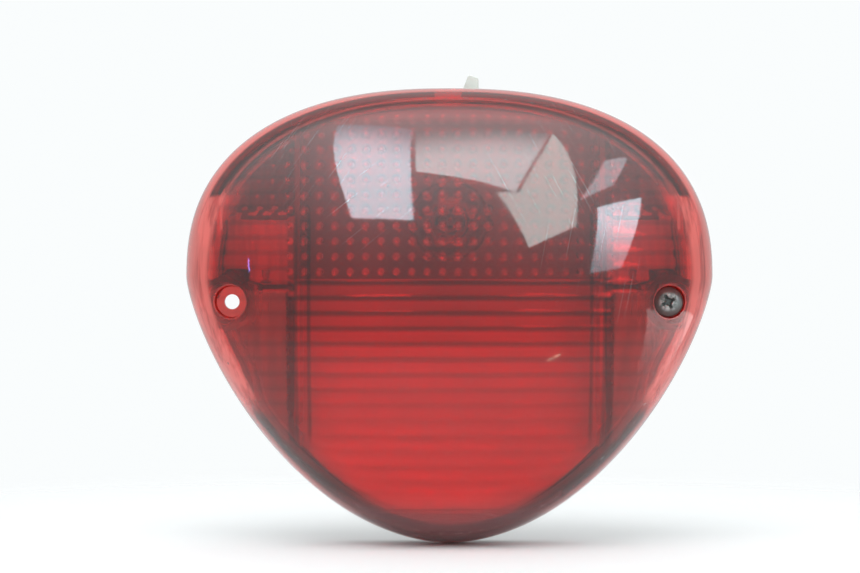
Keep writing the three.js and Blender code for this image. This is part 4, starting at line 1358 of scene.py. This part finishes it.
SIDE_WORDS = ((-1, "left"), (1, "right"))
for node_name, (side, forward) in PIN_AT.items():
    stand_for(make_pin(side, forward, node_name + "_steel"), node_name)
for name, place_of in FILAMENTS.items():
    stand_for(crisp(make_filament(*place_of), f"coil_{name}"), f"filament_{name}")
    for side, word in SIDE_WORDS:
        stand_for(crisp(make_support(*place_of, side), f"lead_{name}_{word}"), f"support_{name}_{word}")
for side, name in zip(SIDES, ("tail", "brake")):
    stand_for(crisp(make_solder(side), f"solder_{name}"), f"bulb_contact_{name}")
    stand_for(crisp(make_contact(side), f"rivet_contact_{name}"), f"contact_{name}")
for side, word in SIDE_WORDS:
    stand_for(crisp(make_rivet(side), f"rivet_{word}"), f"socket_rivet_{word}")
for way, name in enumerate(("tail", "brake", "earth"), -1):
    stand_for(crisp(make_blade(way), f"blade_{name}"), f"header_blade_{name}")
for name, route in WIRES.items():
    stand_for(crisp(tube("lead", route, WIRE_RADIUS, 96, 20), name.replace("wire", "lead_wire")), name)


# ---------------------------------------------------------------- floor, light and camera
SURROUND, MIRRORED, CEILING, BACKDROP = 0.86, 0.66, 2.5, 0.985
FLOOR_RADIUS, FLOOR_GAP, FLOOR_SIDES = 1.6, 0.0002, 96
WINDOW_DISTANCE = 2.6


def stage_floor():
    """A pale floor whose edge fades away, so that it has no horizon."""
    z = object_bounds()[0].z - FLOOR_GAP
    angles = [2 * math.pi * i / FLOOR_SIDES for i in range(FLOOR_SIDES)]
    points = [(FLOOR_RADIUS * math.cos(a), FLOOR_RADIUS * math.sin(a), z) for a in angles]
    mesh = bpy.data.meshes.new("floor")
    mesh.from_pydata(points, [], [list(range(FLOOR_SIDES))])
    made = new_object("floor", mesh)
    material, tree, shader = new_material("floor_white")
    away = vector_calc(tree, "LENGTH", position(tree), result="Value")
    surface(tree, shader, Base_Color=(0.97, 0.98, 0.98), Roughness=0.7, Alpha=rise(tree, away, 0.35, 0.1))
    made.data.materials.append(material)


def direction(azimuth, elevation):
    """A unit vector in the row frame: degrees to the right of straight out of the lens, and above level."""
    a, e = math.radians(azimuth), math.radians(elevation)
    return Vector((math.sin(a) * math.cos(e), -math.cos(a) * math.cos(e), math.sin(e)))


def window(name, corners, level, colour, fade=None):
    """A bright window that the glossy dome mirrors. Its corners are directions seen from the lamp.

    fade gives two heights, as parts of its distance, between which the light falls to a third.
    """
    mesh = bpy.data.meshes.new(name)
    points = [tuple(direction(*corner) * WINDOW_DISTANCE) for corner in corners]
    mesh.from_pydata(points, [], [list(range(len(points)))])
    made = new_object(name, mesh)
    material = bpy.data.materials.new(name)
    material.use_nodes = True
    tree = material.node_tree
    tree.nodes.clear()
    strength = level
    if fade:
        low, high = (share * WINDOW_DISTANCE / MM for share in fade)
        strength = rise(tree, lamp_axes(tree)[1], low, high, level, level * 0.33)
    light = node(tree, "ShaderNodeEmission", in_Color=colour, in_Strength=strength)
    node(tree, "ShaderNodeOutputMaterial", in_Surface=light.outputs["Emission"])
    mesh.materials.append(material)
    made.visible_camera = False
    made.visible_diffuse = False
    made.visible_shadow = False


def key_light():
    """A broad, soft light from above and in front."""
    light = bpy.data.lights.new("key", "AREA")
    light.shape = "DISK"
    light.size = 1.6
    light.energy = 14
    made = new_object("key", light)
    towards = direction(-12, 58)
    made.location = towards * 2.0
    made.rotation_euler = towards.to_track_quat("Z", "Y").to_euler()
    made.visible_camera = False
    made.visible_glossy = False


def world():
    """An even, near-white surround. What the lens mirrors also brightens towards the ceiling."""
    made = bpy.data.worlds.new("studio")
    bpy.context.scene.world = made
    made.use_nodes = True
    tree = made.node_tree
    path = node(tree, "ShaderNodeLightPath")
    sky = node(tree, "ShaderNodeTexCoord").outputs["Generated"]
    split = node(tree, "ShaderNodeSeparateXYZ", in_Vector=sky)
    ceiling = calc(tree, "POWER", calc(tree, "MAXIMUM", split.outputs["Z"], 0.0), 1.5)
    ceiling = product(tree, ceiling, rise(tree, split.outputs["Y"], 0.5, 0.0))
    glossy, passed = path.outputs["Is Glossy Ray"], path.outputs["Is Transmission Ray"]
    mirrored = calc(tree, "SUBTRACT", glossy, passed, clamp=True)
    mirror = calc(tree, "ADD", product(tree, ceiling, CEILING), MIRRORED)
    level = mix_level(tree, mirrored, SURROUND, mirror)
    level = mix_level(tree, path.outputs["Is Camera Ray"], level, BACKDROP)
    surface(tree, tree.nodes["Background"], Strength=level, Color=(0.97, 0.995, 1))


def camera():
    """Square-on to the lens, framed as in the photograph: 271 mm across at the lens."""
    view_width, view_plane, distance = 0.2714, -0.010, 0.85
    data = bpy.data.cameras.new("camera")
    data.sensor_width = 36
    data.lens = data.sensor_width * distance / view_width
    made = new_object("camera", data)
    made.location = (-0.0061, view_plane - distance, 0.0047)
    made.rotation_euler = (math.pi / 2, 0, 0)
    bpy.context.scene.camera = made


bpy.context.scene.view_settings.view_transform = "Standard"
stage_floor()
world()
key_light()
window("window_left", [(-97, 70), (-22, 73), (-8, 21), (-23, 22)], 14.0, (0.66, 0.9, 1.0), (0.6, 0.95))
window("window_top", [(-17, 70), (60, 67), (17, 32), (8, 37), (-9, 42)], 10.5, (0.74, 0.98, 1.0), (0.7, 0.95))
window("window_turned", [(63, 67), (37, 37), (31, 19), (18, 12), (12, 32), (18, 32)], 9.0, (0.76, 1.0, 0.97))
window("window_small", [(62, 49), (85, 49), (52, 36), (35, 29)], 7.0, (0.88, 0.93, 1.0))
window("window_far", [(40, 26), (64, 30), (45, 5), (34, 4)], 15.0, (0.7, 0.9, 1.0), (0.38, 0.08))
window("window_low", [(62, -12), (125, -14), (118, -42), (86, -36)], 3.2, (1.0, 0.95, 0.95), (-0.32, -0.66))
window("lamp_warm", [(26.2, -22.2), (29.6, -20.6), (29.8, -20.1), (26.4, -21.5)], 26.0, (1.0, 0.86, 0.62))
window("lamp_violet", [(-59.4, 7), (-58.8, 7.2), (-58, 3.4), (-58.6, 3.2)], 24.0, (0.4, 0.3, 1.0))
camera()
